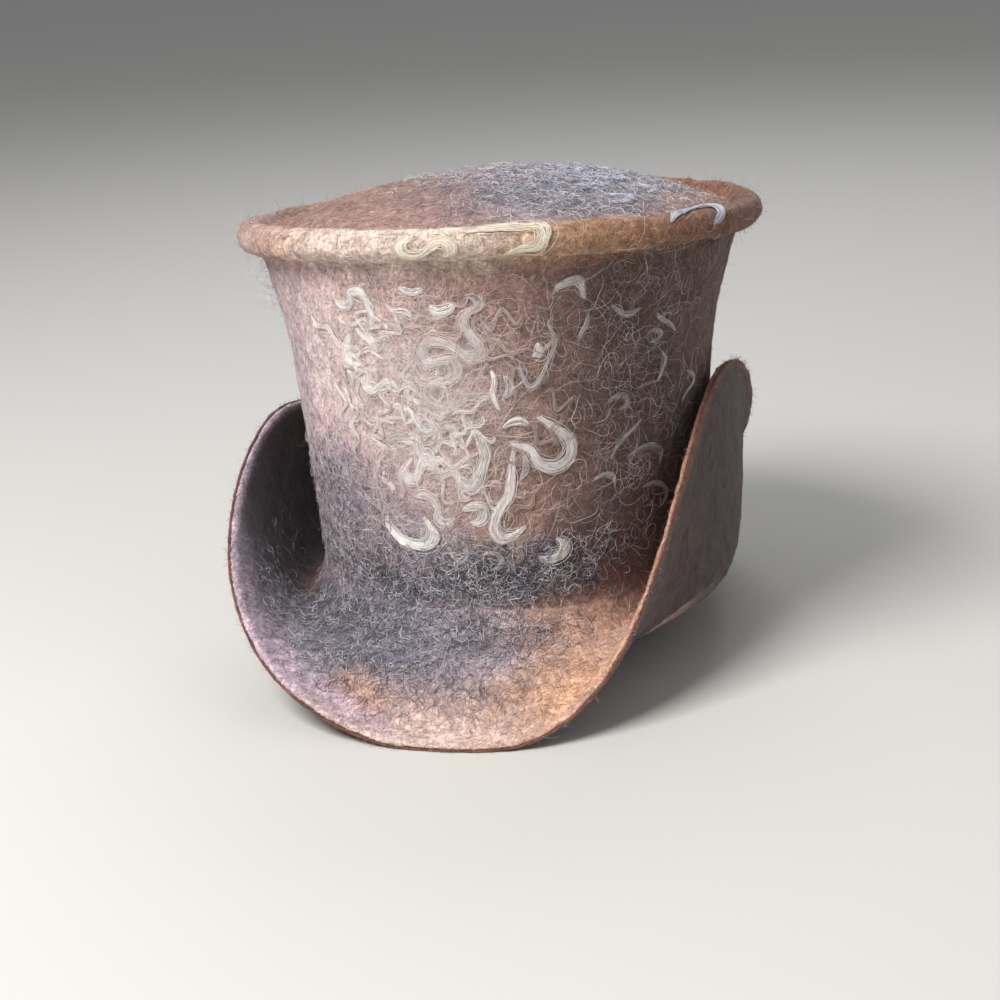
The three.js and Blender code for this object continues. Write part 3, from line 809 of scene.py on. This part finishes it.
EVERYWHERE = OUTSIDE * (1 + 0.4 * ON["crown_wall"])
CROWN_FRONT = ON["crown_wall"] * np.maximum(on_wall((0, 124), (22, 46)), on_wall((2, 84), (20, 32)))
CROWN_RIGHT = ON["crown_wall"] + 0.3 * ON["tip_rim"]
CROWN_RIGHT = CROWN_RIGHT * (on_wall((54, 150), (20, 34)) + on_wall((62, 90), (20, 44)))
CROWN_SPECKLE = ON["crown_wall"] * (
    on_wall((-8, 36), (32, 18)) + on_wall((26, 38), (24, 14)) + 0.5 * on_wall((-32, 66), (18, 26)))
BRIM_SPECKLE = ON["brim_face"] * (
    spot(UP_DEGREES, UP_OUT, (-20, 36), (34, 30)) + 0.6 * spot(UP_DEGREES, UP_OUT, (18, 22), (20, 20)))
TIP_SPECKLE = ON["crown_tip"] * (
    spot(UP_X, UP_Y, (48, -12), (38, 62)) + 0.5 * spot(UP_X, UP_Y, (6, 0), (34, 50)))
LEFT_TUFT = ON["crown_wall"] * on_wall((-70, 152), (8, 12))
OUTLINE = OUTSIDE * (ON["tip_rim"] + 0.3 * ON["crown_tip"] + 0.15 * ON["crown_wall"]
                     + 0.8 * ON["brim_face"] * (UP_OUT > 96))
FELTED = 7500  # fibres in each piece of the felt's own surface
SHORT_CURL, FINE, SPECKLE = (2.5, 9), (0.05, 0.085), (0.07, 0.12)


def grow_fibres():
    """Lengths, curl radii, heights over the felt and thicknesses are ranges in millimetres."""
    for part in range(7):
        fuzz(f"felt_fibres_{part}", upper_felt, EVERYWHERE, FELTED, 5,
             (3, 8), SHORT_CURL, (0.1, 0.6), FINE, [UMBER], 0.06, 0.46)
    for part in range(2):
        fuzz(f"felt_fibres_under_{part}", under_felt, np.ones(len(under_felt["co"])), FELTED, 5,
             (3, 8), SHORT_CURL, (0.1, 0.5), FINE, [UMBER, (112, 78, 66)], 0.16, 0.4)
    fuzz("crown_haze", upper_felt, CROWN_FRONT, 2000, 11,
         (12, 34), (3, 9), (0.3, 1.4), (0.045, 0.07),
         [(250, 234, 228), (222, 192, 184)], 0.7, 0.2, LUSTRE)
    fuzz("crown_mohair", upper_felt, CROWN_RIGHT, 1900, 11,
         (8, 26), (1.8, 5.5), (0.4, 3.0), (0.045, 0.075),
         [SMOKE, (150, 132, 124), (116, 92, 82), (96, 72, 62)], 0.85, 0.3, LUSTRE)
    fuzz("crown_speckle", upper_felt, CROWN_SPECKLE, 5000, 7,
         (4, 10), (0.9, 2.6), (0.2, 1.4), SPECKLE,
         [CHARCOAL, CHARCOAL, (120, 122, 140), LAVENDER, SMOKE], 0.85, 0.3)
    fuzz("brim_speckle", upper_felt, BRIM_SPECKLE, 5200, 7,
         (4, 9), (0.9, 2.6), (0.2, 1.0), SPECKLE,
         [CHARCOAL, CHARCOAL, (126, 126, 140), LAVENDER, SMOKE], 0.75, 0.3)
    fuzz("tip_speckle", upper_felt, TIP_SPECKLE, 4500, 7,
         (4, 12), (0.9, 3.2), (0.3, 2.4), SPECKLE,
         [BLUE, (120, 124, 146), (84, 86, 104), SMOKE], 0.85, 0.3)
    stray_hairs("stray_hairs", upper_felt, OUTLINE, 1500, 7,
                (2, 9), (2, 8), (0.04, 0.07), [SMOKE, UMBER], 0.5, 0.4)
    edge = np.exp(-(edge_distance(under_felt["co"]) / 1.6) ** 2)
    stray_hairs("edge_hairs", under_felt, edge, 2600, 5, (1.2, 4), (1.5, 6), (0.045, 0.08),
                [UMBER, (190, 140, 116), LAVENDER], 0.6, 0.4)
    fuzz("straw_flecks", upper_felt, CROWN_FRONT, 14, 3,
         (3, 6), (30, 60), (1.0, 1.8), (0.12, 0.18), [(214, 150, 84)], 1.0, 0.2)
    stray_hairs("tuft_hairs", upper_felt, LEFT_TUFT, 160, 9,
                (8, 20), (3, 7), (0.05, 0.08), [BLUE, SMOKE], 0.9, 0.3)


grow_fibres()


# ---------------------------------------------------------------- fleece locks

# The locks' routes, as in the CAD: name, colour, width in millimetres, then the points in pairs:
# degrees round, and millimetres up the outside from the foot. On the tip the pairs are
# millimetres towards +X and towards the back.
CROWN_LOCKS = [
    ("curl_crimp_upper", CREAM, 2.4, -19,161, -18,157, -15,156, -13,160, -14,164, -11,166, -9,164, -9,160,
     -8,156, -7,153, -9,150, -11,150),
    ("curl_crimp_lower", CREAM, 2.4, -14,148, -12,145, -10,145, -8,142, -9,138),
    ("curl_left_loop", CREAM, 2.4, -16,145, -18,141, -19,137, -18,133, -15,132, -12,132),
    ("curl_left_comma", CREAM, 2.0, -19,129, -17,128, -17,125, -18,122),
    ("curl_left_wave", CREAM, 2.4, -10,129, -13,127, -14,124, -13,121, -10,121, -8,125, -6,127, -4,125,
     -3,121),
    ("curl_left_arc", SMOKE, 2.2, -9,97, -7,101, -4,103, -1,101, -1,98),
    ("curl_upper_wave", CREAM, 2.6, 7,160, 8,156, 10,156, 12,158, 13,161),
    ("curl_long_s", CREAM, 3.4, 15,163, 17,164, 19,162, 19,158, 16,157, 14,155, 14,151, 15,148, 17,146,
     19,141, 19,137, 16,136, 14,139, 12,142, 9,145, 6,146, 4,143, 3,139, 4,135, 6,134, 9,136, 12,137,
     13,134, 13,130, 10,127, 7,127, 4,125, 3,122, 4,118, 6,116, 9,115, 12,115, 14,118, 16,121, 18,121),
    ("curl_teardrop", CREAM, 3.4, 14,112, 16,105, 18,99, 19,94, 18,89, 17,83, 16,79, 14,77, 12,79, 11,83,
     9,88, 7,96),
    ("curl_left_hook", CREAM, 2.6, -1,93, -3,89, -5,85, -3,81, -1,81, 0,85, 1,90, 2,94, 4,93, 5,89, 4,84),
    ("curl_low_hook", CREAM, 2.6, -2,72, -1,76, 2,77, 4,74, 5,69, 4,65, 5,62, 7,61, 9,65),
    ("curl_left_crescent", CREAM, 3.0, -11,64, -12,60, -10,55, -7,52, -4,51, 0,51, 3,53, 4,57, 2,61, 0,65),
    ("curl_small_ring", CREAM, 2.4, 11,68, 13,71, 15,72, 18,71, 18,68, 18,65, 16,62, 13,63),
    ("curl_white_hook", CREAM, 3.4, 26,95, 25,89, 25,83, 24,75, 22,70, 20,65, 19,60, 20,55, 22,53, 25,55,
     28,60),
    ("curl_hook_side", SMOKE, 1.8, 28,93, 29,89, 29,84, 27,81),
    ("curl_big_ring", CREAM, 3.6, 23,100, 26,97, 30,95, 31,90, 33,86, 36,84, 39,86, 41,90, 41,95, 40,98,
     37,102, 34,106, 32,109),
    ("curl_soft_ring", CREAM, 2.2, 23,104, 25,108, 28,109, 30,105),
    ("curl_spark", CREAM, 2.2, 32,141, 33,138, 33,135, 31,136),
    ("curl_v_loop", SMOKE, 2.0, 28,134, 28,129, 29,124, 30,120, 32,122, 34,128, 35,132, 36,136, 37,141,
     36,145, 33,145),
    ("curl_high_arc", CREAM, 2.0, 35,161, 36,165, 38,167, 41,167, 42,162, 43,157),
    ("curl_right_crescent", CREAM, 3.0, 36,52, 39,50, 39,46, 37,42, 33,42, 31,45),
    ("curl_soft_upper", CREAM, 2.4, 0,168, 1,165, 4,164, 6,167),
    ("curl_soft_left", CREAM, 2.2, -4,160, -2,157, 1,158, 3,154),
    ("curl_soft_middle", CREAM, 2.4, -3,116, 0,113, 1,109, 2,105, 4,103, 6,106),
    ("curl_soft_low", CREAM, 2.2, 8,107, 11,108, 12,105, 12,102, 10,100),
    ("curl_soft_right", CREAM, 2.2, 21,131, 22,126, 21,120, 22,115, 23,112),
    ("curl_soft_far", SMOKE, 2.0, 24,128, 26,125, 26,121, 24,118),
    ("curl_faint_ring", SMOKE, 1.8, 10,55, 12,52, 12,47, 10,44, 8,46, 7,50),
    ("curl_foot_ring", SMOKE, 1.8, 15,47, 18,49, 21,47, 21,42, 17,40),
    ("mohair_coil", SMOKE, 1.8, 51,109, 54,112, 57,110, 57,106, 54,105),
    ("mohair_loop", SMOKE, 1.8, 57,82, 62,85, 67,84, 70,79, 69,73),
    ("mohair_knot", SMOKE, 1.4, 62,136, 64,138, 67,135, 65,132, 63,132),
    ("mohair_high_trail", SMOKE, 1.4, 44,152, 44,148, 43,144, 42,140),
    ("mohair_upper_wave", SMOKE, 1.6, 50,153, 52,149, 55,146, 57,147, 59,149),
    ("mohair_right_wave", SMOKE, 1.6, 64,145, 66,141, 70,138, 73,133),
    ("mohair_middle_trail", SMOKE, 1.6, 68,126, 70,122, 69,117, 67,113),
    ("mohair_diagonal_trail", SMOKE, 1.4, 62,98, 59,95, 56,93, 53,88, 52,83),
    ("mohair_right_hook", SMOKE, 1.6, 80,112, 84,108, 84,104, 80,102, 78,97),
    ("mohair_low_curl", SMOKE, 1.6, 46,75, 49,78, 53,76, 53,70),
    ("mohair_foot_curl", SMOKE, 1.6, 62,66, 68,66, 73,59, 70,53),
    ("side_tuft_upper", BLUE, 2.0, -62,166, -66,160, -64,153, -69,147),
    ("side_tuft_lower", BLUE, 2.0, -72,158, -75,152, -73,145, -77,139),
    ("rim_crimped_curl", IVORY, 3.0, 6,190, 4,189, 2,186, 3,182, 6,181, 8,184, 10,188, 12,189, 14,186,
     13,182, 11,181),
    ("rim_band_curl", IVORY, 3.4, 16,192, 20,193, 24,193, 28,193, 31,193, 32,190, 31,186, 30,183, 27,183,
     25,182, 23,180),
    ("rim_right_curl", BLUE, 2.4, 59,187, 62,191, 66,192, 70,193, 74,191, 76,187, 74,183, 71,181),
]
TIP_LOCKS = [
    ("tip_curl_back", BLUE, 3.0, 18,22, 26,28, 34,24, 34,15, 27,13),
    ("tip_curl_middle", BLUE, 3.0, 44,18, 52,22, 58,15, 54,7, 46,8),
    ("tip_curl_front", BLUE, 3.0, 40,-10, 49,-6, 57,-12, 54,-21, 45,-22),
    ("tip_curl_right", BLUE, 2.6, 66,2, 73,8, 80,2, 77,-7),
    ("tip_curl_corner", BLUE, 2.6, 64,-28, 72,-24, 77,-32, 71,-39),
]


def spline(points, count):
    """A smooth line through points, as count points evenly spread over its spans."""
    p = np.array(points, float)
    p = np.concatenate([[2 * p[0] - p[1]], p, [2 * p[-1] - p[-2]]])
    t = np.linspace(0, len(points) - 1.0001, count)
    i = t.astype(int)
    f = (t - i)[:, None]
    a, b, c, d = p[i], p[i + 1], p[i + 2], p[i + 3]
    square, cube = 2 * a - 5 * b + 4 * c - d, 3 * b - a - 3 * c + d
    return 0.5 * (2 * b + (c - a) * f + square * f ** 2 + cube * f ** 3)


def rim_slices():
    """Middle of the rolled rim's section, for angles round the hat."""
    co, _ = mesh_arrays(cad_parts["tip_rim"].data)
    middle = Vector(co.mean(0))
    half = (co.max(0) - co.min(0)) / 2
    turn = np.degrees(np.arctan2((co[:, 0] - middle.x) / half[0], -(co[:, 1] - middle.y) / half[1]))
    angles = np.arange(-180, 181, 10)
    slices = [co[np.abs(wrapped(turn - a)) < 5] for a in angles]
    return angles, np.array([(s.max(0) + s.min(0)) / 2 for s in slices])


RIM_ANGLES, RIM_MIDDLES = rim_slices()
RIM_HALF = 6.5 * MM  # half the thickness of the rolled rim
WALL_BELOW_RIM = 7.3  # millimetres from the rim's middle down to the wall's top
LEAN_PAST_TOP = 14.3  # millimetres over the wall's top at which its lean would be whole
LEAN = 13.2  # millimetres that the wall leans out when its lean is whole
FLARE_FROM = 0.6  # share of that height from which the wall flares out further
FLARE_SIDE, FLARE_FRONT = 16, 3  # millimetres of flare at the sides, and at the front and back
ROLL_FROM = -60  # degrees round the rim's section where a route steps onto it
TIP_CLEAR = 5 * MM  # height over the tip from which its locks' routes are laid down on it


def crown_place(degrees, climb):
    """Rough places on the crown's outside, for angles and distances up from the foot."""
    a = np.radians(degrees)
    rim = np.stack([np.interp(degrees, RIM_ANGLES, RIM_MIDDLES[:, axis]) for axis in range(3)], -1)
    wall_top = (rim[:, 2] - FOOT_Z) / MM - WALL_BELOW_RIM
    share = np.clip(climb / (wall_top + LEAN_PAST_TOP), 0, 1)
    flare = np.clip((share - FLARE_FROM) / (1 - FLARE_FROM), 0, 1) ** 2
    lean = LEAN * share
    x = CENTRE.x + (FOOT_SIDE + (lean + FLARE_SIDE * flare) * MM) * np.sin(a)
    y = CENTRE.y - (FOOT_FRONT + (lean + FLARE_FRONT * flare) * MM) * np.cos(a)
    wall = np.stack([x, y, FOOT_Z + climb * MM], -1)
    turn = np.radians(ROLL_FROM) + (climb - wall_top) * MM / RIM_HALF
    outward = np.stack([np.sin(a), -np.cos(a), np.zeros_like(a)], -1)
    roll = rim + RIM_HALF * (outward * np.cos(turn)[:, None])
    roll[:, 2] += RIM_HALF * np.sin(turn)
    return np.where((climb > wall_top)[:, None], roll, wall)


def tip_place(x, y):
    _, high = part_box("crown_tip")
    z = np.full(len(x), high.z + TIP_CLEAR)
    return np.stack([CENTRE.x + x * MM, CENTRE.y + y * MM, z], -1)


def blurred(values, sigma):
    """Values (n, 3) along a line, smoothed over sigma samples; the two ends stay in place."""
    reach = min(int(3 * sigma), len(values) - 1)
    before = 2 * values[0] - values[1:reach + 1][::-1]
    after = 2 * values[-1] - values[-reach - 1:-1][::-1]
    padded = np.concatenate([before, values, after])
    kernel = np.exp(-0.5 * (np.arange(-reach, reach + 1) / sigma) ** 2)
    kernel /= kernel.sum()
    return np.stack([np.convolve(padded[:, axis], kernel, "valid") for axis in range(3)], -1)


LOCK_STEP = 0.9  # millimetres between the points of a lock's strands
STRIPES = 7  # lighter and darker stripes across the width of a lock
STRAND_STEP = 1.3  # millimetres between the points of one strand
LOCK_DENSITY = 24  # strands for each millimetre of a bold lock's width
FAINT_DENSITY = 12  # the same for a grey or soft one
VEIL_STRANDS, VEIL_POINTS = 16, 26  # strands of a veil curl, and points of each strand
VEIL_TOP = 152  # the highest start of a veil curl, so that its end stays on the wall
SOFTEN = 1.3  # millimetres over which the corners of a route are rounded
BLUR = 11.0  # millimetres over which a lock's waves are smoothed for its innermost strands
LOOSE = 0.2  # share of a lock's strands that lie looser than the rest
END_SPREAD = 0.1  # share of a lock's length over which its strands' ends are spread
WANDER = 0.12  # millimetres that a strand strays sideways
THINNEST, THICKEST = 0.08, 0.14  # half the thickness of a lock's strands, in millimetres
LOOSE_COLOUR = (206, 184, 176)
MM_PER_DEGREE = 1.8  # round the crown's wall
VEILS = [  # middle, spread, number of curls, colour
    ((-9, 124), (6, 16), 24, (252, 238, 232)),
    ((-2, 104), (6, 8), 12, (252, 238, 232)),
    ((10, 92), (9, 14), 18, (252, 238, 232)),
    ((16, 140), (12, 18), 12, (214, 190, 180)),
    ((30, 96), (8, 24), 10, (190, 164, 152)),
]


def lock_route(points, place):
    """A lock's line on the felt, that line with its waves smoothed away, its side and its length."""
    fine = spline(points, 12 * len(points))
    rough = place(fine[:, 0], fine[:, 1])
    run = np.concatenate([[0], np.cumsum(np.linalg.norm(np.diff(rough, axis=0), axis=1))]) / MM
    steps = max(int(run[-1] / LOCK_STEP), 12)
    even = np.linspace(0, run[-1], steps)
    rough = np.stack([np.interp(even, run, rough[:, axis]) for axis in range(3)], -1)
    middle, normal = settled(rough, upper_felt["tree"], np.zeros(steps))
    middle = blurred(middle, SOFTEN / (run[-1] / steps))
    inner = blurred(middle, BLUR / (run[-1] / steps))
    side = unit(np.cross(normal, unit(np.gradient(blurred(middle, 2.0), axis=0))))
    return middle, inner, side, run[-1]


def lock_strands(points, place, colour, width, strands, count=None):
    """The fine strands of one lock. They meet between its bends and fan out in each bend."""
    middle, inner, side, length = lock_route(points, place)
    wave = middle - inner
    deepest = np.linalg.norm(wave, axis=1).max() / MM
    loose = rng.random(strands) < LOOSE
    fan_share = rng.random(strands) ** 1.5
    fan = min(0.7, 1.5 * width / deepest) * np.where(loose, fan_share * 1.5 - 0.12, fan_share)
    u = np.linspace(0, 1, len(middle))
    swell = np.sqrt(np.sin(math.pi * (0.04 + 0.92 * u)))
    offset = np.where(loose, rng.normal(0, 0.5, strands), rng.uniform(-0.5, 0.5, strands))
    offset = offset * width
    knots = np.linspace(0, 1, 3 + int(length / 7))
    drift = rng.normal(0, WANDER, (strands, len(knots)))
    wander = np.stack([np.interp(u, knots, row) for row in drift])
    wander = wander * np.where(loose, 3.0, 1.0)[:, None]
    across = (offset[:, None] * swell + wander) * MM
    paths = inner + (1 - fan)[:, None, None] * wave + side * across[..., None]
    begin = rng.random(strands) * END_SPREAD
    finish = 1 - rng.random(strands) * END_SPREAD
    count = count or int(np.clip(length / STRAND_STEP, 14, 150))
    own = begin[:, None] + (finish - begin)[:, None] * np.linspace(0, 1, count)
    paths = np.stack([
        np.stack([np.interp(own[k], u, paths[k, :, axis]) for axis in range(3)], -1)
        for k in range(strands)
    ])
    crest = np.sin(math.pi * np.linspace(0.05, 0.95, count))
    place_across = (fan_share + offset / width + 0.4) * STRIPES
    stripe = np.interp(place_across, np.arange(-40, 80), rng.normal(0, 1, 120))
    pile = 0.6 + 0.12 * stripe + rng.random(strands) * (0.15 + 0.14 * width)
    high = (pile[:, None] * np.sqrt(crest)[None, :] * MM).ravel()
    placed, facing = settled(paths.reshape(-1, 3), upper_felt["tree"], high)
    radius = rng.uniform(THINNEST, THICKEST, strands)
    taper = np.clip(crest * 3, 0.3, 1)
    tint = np.exp(0.22 * np.minimum(stripe, 0.4) + rng.normal(0, 0.08, strands))[:, None]
    shade = mixed(linear(colour), linear(LOOSE_COLOUR), np.where(loose, 0.3, 0.0)[:, None])
    return {
        "paths": placed.reshape(paths.shape),
        "radius": radius[:, None] * taper * MM,
        "facing": facing.reshape(paths.shape),
        "colour": np.clip(0.95 * shade * tint, 0, 0.96),
    }


def strands_piece(name, locks):
    """One piece from the strands of one or more locks."""
    joined = {key: np.concatenate([lock[key] for lock in locks]) for key in locks[0]}
    return strand_object(
        name, joined["paths"], joined["radius"], joined["facing"], joined["colour"], LUSTRE, 0.9)


def veil_route(middle, half):
    """A random wavy route on the crown, as points in degrees round and millimetres up."""
    start = rng.normal(middle, half)
    start[1] = min(start[1], VEIL_TOP)
    heading = rng.uniform(0, 2 * math.pi)
    bends = rng.integers(2, 5)
    pitch = rng.uniform(5, 9)
    height = rng.uniform(2.5, 5.5) * rng.choice((-1, 1))
    points = []
    for i in range(2 * bends + 1):
        forward, sideways = pitch * i / 2, height * math.sin(math.pi * i / 2)
        x = forward * math.cos(heading) - sideways * math.sin(heading)
        y = forward * math.sin(heading) + sideways * math.cos(heading)
        points.append((start[0] + x / MM_PER_DEGREE, start[1] + y))
    return points


def make_veil():
    for number, (middle, half, curls, colour) in enumerate(VEILS):
        locks = []
        for _ in range(curls):
            points = veil_route(middle, half)
            width = rng.uniform(1.2, 2.4)
            locks.append(lock_strands(points, crown_place, colour, width, VEIL_STRANDS, VEIL_POINTS))
        strands_piece(f"crown_veil_{number}", locks)


def make_locks():
    for table, place in ((CROWN_LOCKS, crown_place), (TIP_LOCKS, tip_place)):
        for name, colour, width, *route in table:
            points = np.reshape(route, (-1, 2))
            density = FAINT_DENSITY if colour == SMOKE or "soft" in name else LOCK_DENSITY
            lock = lock_strands(points, place, colour, width, int(density * width))
            piece = strands_piece("fleece_" + name, [lock])
            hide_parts(name)


make_locks()
make_veil()


# ---------------------------------------------------------------- sweatband


WEAVE_SCALE = 9  # of the weave's texture; its coordinates are divided by the same


def ribbon_material():
    material, tree, shader = node_material("grosgrain")
    ribs = tree.nodes.new("ShaderNodeTexWave")
    set_sockets(ribs, Scale=WEAVE_SCALE)
    coordinates = tree.nodes.new("ShaderNodeTexCoord")
    wire(tree, coordinates, "UV", ribs, "Vector")
    ramp = tree.nodes.new("ShaderNodeValToRGB")
    ramp.color_ramp.elements[0].color = (*linear((24, 20, 20)), 1)
    ramp.color_ramp.elements[1].color = (*linear((56, 48, 46)), 1)
    wire(tree, ribs, "Fac", ramp, "Fac")
    wire(tree, ramp, "Color", shader, "Base Color")
    bump = tree.nodes.new("ShaderNodeBump")
    set_sockets(bump, Distance=0.3 * MM)
    wire(tree, ribs, "Fac", bump, "Height")
    wire(tree, bump, "Normal", shader, "Normal")
    set_sockets(shader, Roughness=0.6, Sheen_Weight=0.3)
    return material


RIBBON = ribbon_material()
RIB_PITCH = 1.2 * MM
RIB_DEPTH = 0.12 * MM
RIBBON_LEAN = 0.072  # how much the ribbon leans out with the wall, for each metre up
RIBBON_CLEAR = 1.7 * MM  # how far inside the CAD band's outline the ribbon's foot stands


def ribbon(name, node, from_degrees, to_degrees, inset, thick):
    """A ribbon that stands against the inside of the crown's foot."""
    low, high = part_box(node)
    band_low, band_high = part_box("sweatband")
    half_x = (band_high.x - band_low.x) / 2 - inset
    half_y = (band_high.y - band_low.y) / 2 - inset
    turn = math.radians(to_degrees - from_degrees)
    length = abs(turn) * (half_x + half_y) / 2
    columns = int(length / RIB_PITCH) * 4
    rows = 14
    whole = abs(to_degrees - from_degrees) >= 360
    verts, faces, uvs = [], [], []
    for i in range(columns + (0 if whole else 1)):
        a = math.radians(from_degrees) + turn * i / columns
        rib = RIB_DEPTH * math.cos(2 * math.pi * i / 4)
        for j in range(rows + 1):
            z = low.z + (high.z - low.z) * j / rows
            lean = RIBBON_LEAN * (z - FOOT_Z)
            for depth in (0.0, thick):
                pull = depth + (rib if depth else 0.0)
                x = CENTRE.x + (half_x + lean - pull - RIBBON_CLEAR) * math.sin(a)
                y = CENTRE.y - (half_y + lean - pull - RIBBON_CLEAR) * math.cos(a)
                verts.append((x, y, z))
                uvs.append((length * i / columns / RIB_PITCH / WEAVE_SCALE, j / rows))
    stride = 2 * (rows + 1)
    total = columns if whole else columns + 1
    for i in range(columns):
        a, b = i * stride, ((i + 1) % total) * stride
        for j in range(rows):
            o, p = 2 * j, 2 * j + 2
            faces.append((a + o, b + o, b + p, a + p))
            faces.append((a + o + 1, a + p + 1, b + p + 1, b + o + 1))
        faces.append((a, a + 1, b + 1, b))
        top = 2 * rows
        faces.append((a + top, b + top, b + top + 1, a + top + 1))
    if not whole:
        for a, flip in ((0, False), (columns * stride, True)):
            for j in range(rows):
                o, p = 2 * j, 2 * j + 2
                face = (a + o, a + p, a + p + 1, a + o + 1)
                faces.append(face[::-1] if flip else face)
    mesh = bpy.data.meshes.new(name)
    mesh.from_pydata(verts, [], faces)
    layer = mesh.uv_layers.new(name="ribbon")
    for loop in mesh.loops:
        layer.data[loop.index].uv = uvs[loop.vertex_index]
    mesh.materials.append(RIBBON)
    mesh.shade_smooth()
    piece = linked(name, mesh)
    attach(piece, "root")
    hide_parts(node)


ribbon("sweatband_ribbon", "sweatband", 0, 360, 0.0, 0.7 * MM)
ribbon("sweatband_lap_ribbon", "sweatband_lap", 173, 187, 1.3 * MM, 0.7 * MM)


# ---------------------------------------------------------------- floor and light


def plain_material(name, colour):
    material, _, shader = node_material(name)
    set_sockets(shader, Base_Color=(*linear(colour), 1), Roughness=0.9)
    return material


def make_floor():
    mesh = bpy.data.meshes.new("floor")
    half = 6.0
    corners = [(-half, -half, 0), (half, -half, 0), (half, half, 0), (-half, half, 0)]
    mesh.from_pydata(corners, [], [(0, 1, 2, 3)])
    mesh.materials.append(plain_material("pale_floor", (212, 210, 206)))
    floor = linked("floor", mesh)
    floor.location.z = -0.2 * MM


def area_light(name, azimuth, height, distance, size, power, colour):
    data = bpy.data.lights.new(name, "AREA")
    data.size = size
    data.energy = power
    data.color = colour
    light = linked(name, data)
    back = direction(azimuth, height)
    light.location = Vector((0, 0, 0.1)) + back * distance
    light.rotation_mode = "QUATERNION"
    light.rotation_quaternion = back.to_track_quat("Z", "Y")


def make_light():
    area_light("key", -24, 50, 1.6, 0.7, 30, (1.0, 0.98, 0.96))
    area_light("fill", 70, 25, 2.0, 1.4, 3.4, (1.0, 0.97, 0.95))
    area_light("back", 190, 50, 1.8, 1.0, 8, (0.96, 0.98, 1.0))
    world = bpy.data.worlds.new("studio")
    world.use_nodes = True
    set_sockets(world.node_tree.nodes["Background"], Color=(0.9, 0.92, 0.95, 1), Strength=0.27)
    bpy.context.scene.world = world
    bpy.context.scene.view_settings.view_transform = "Standard"


make_floor()
make_light()
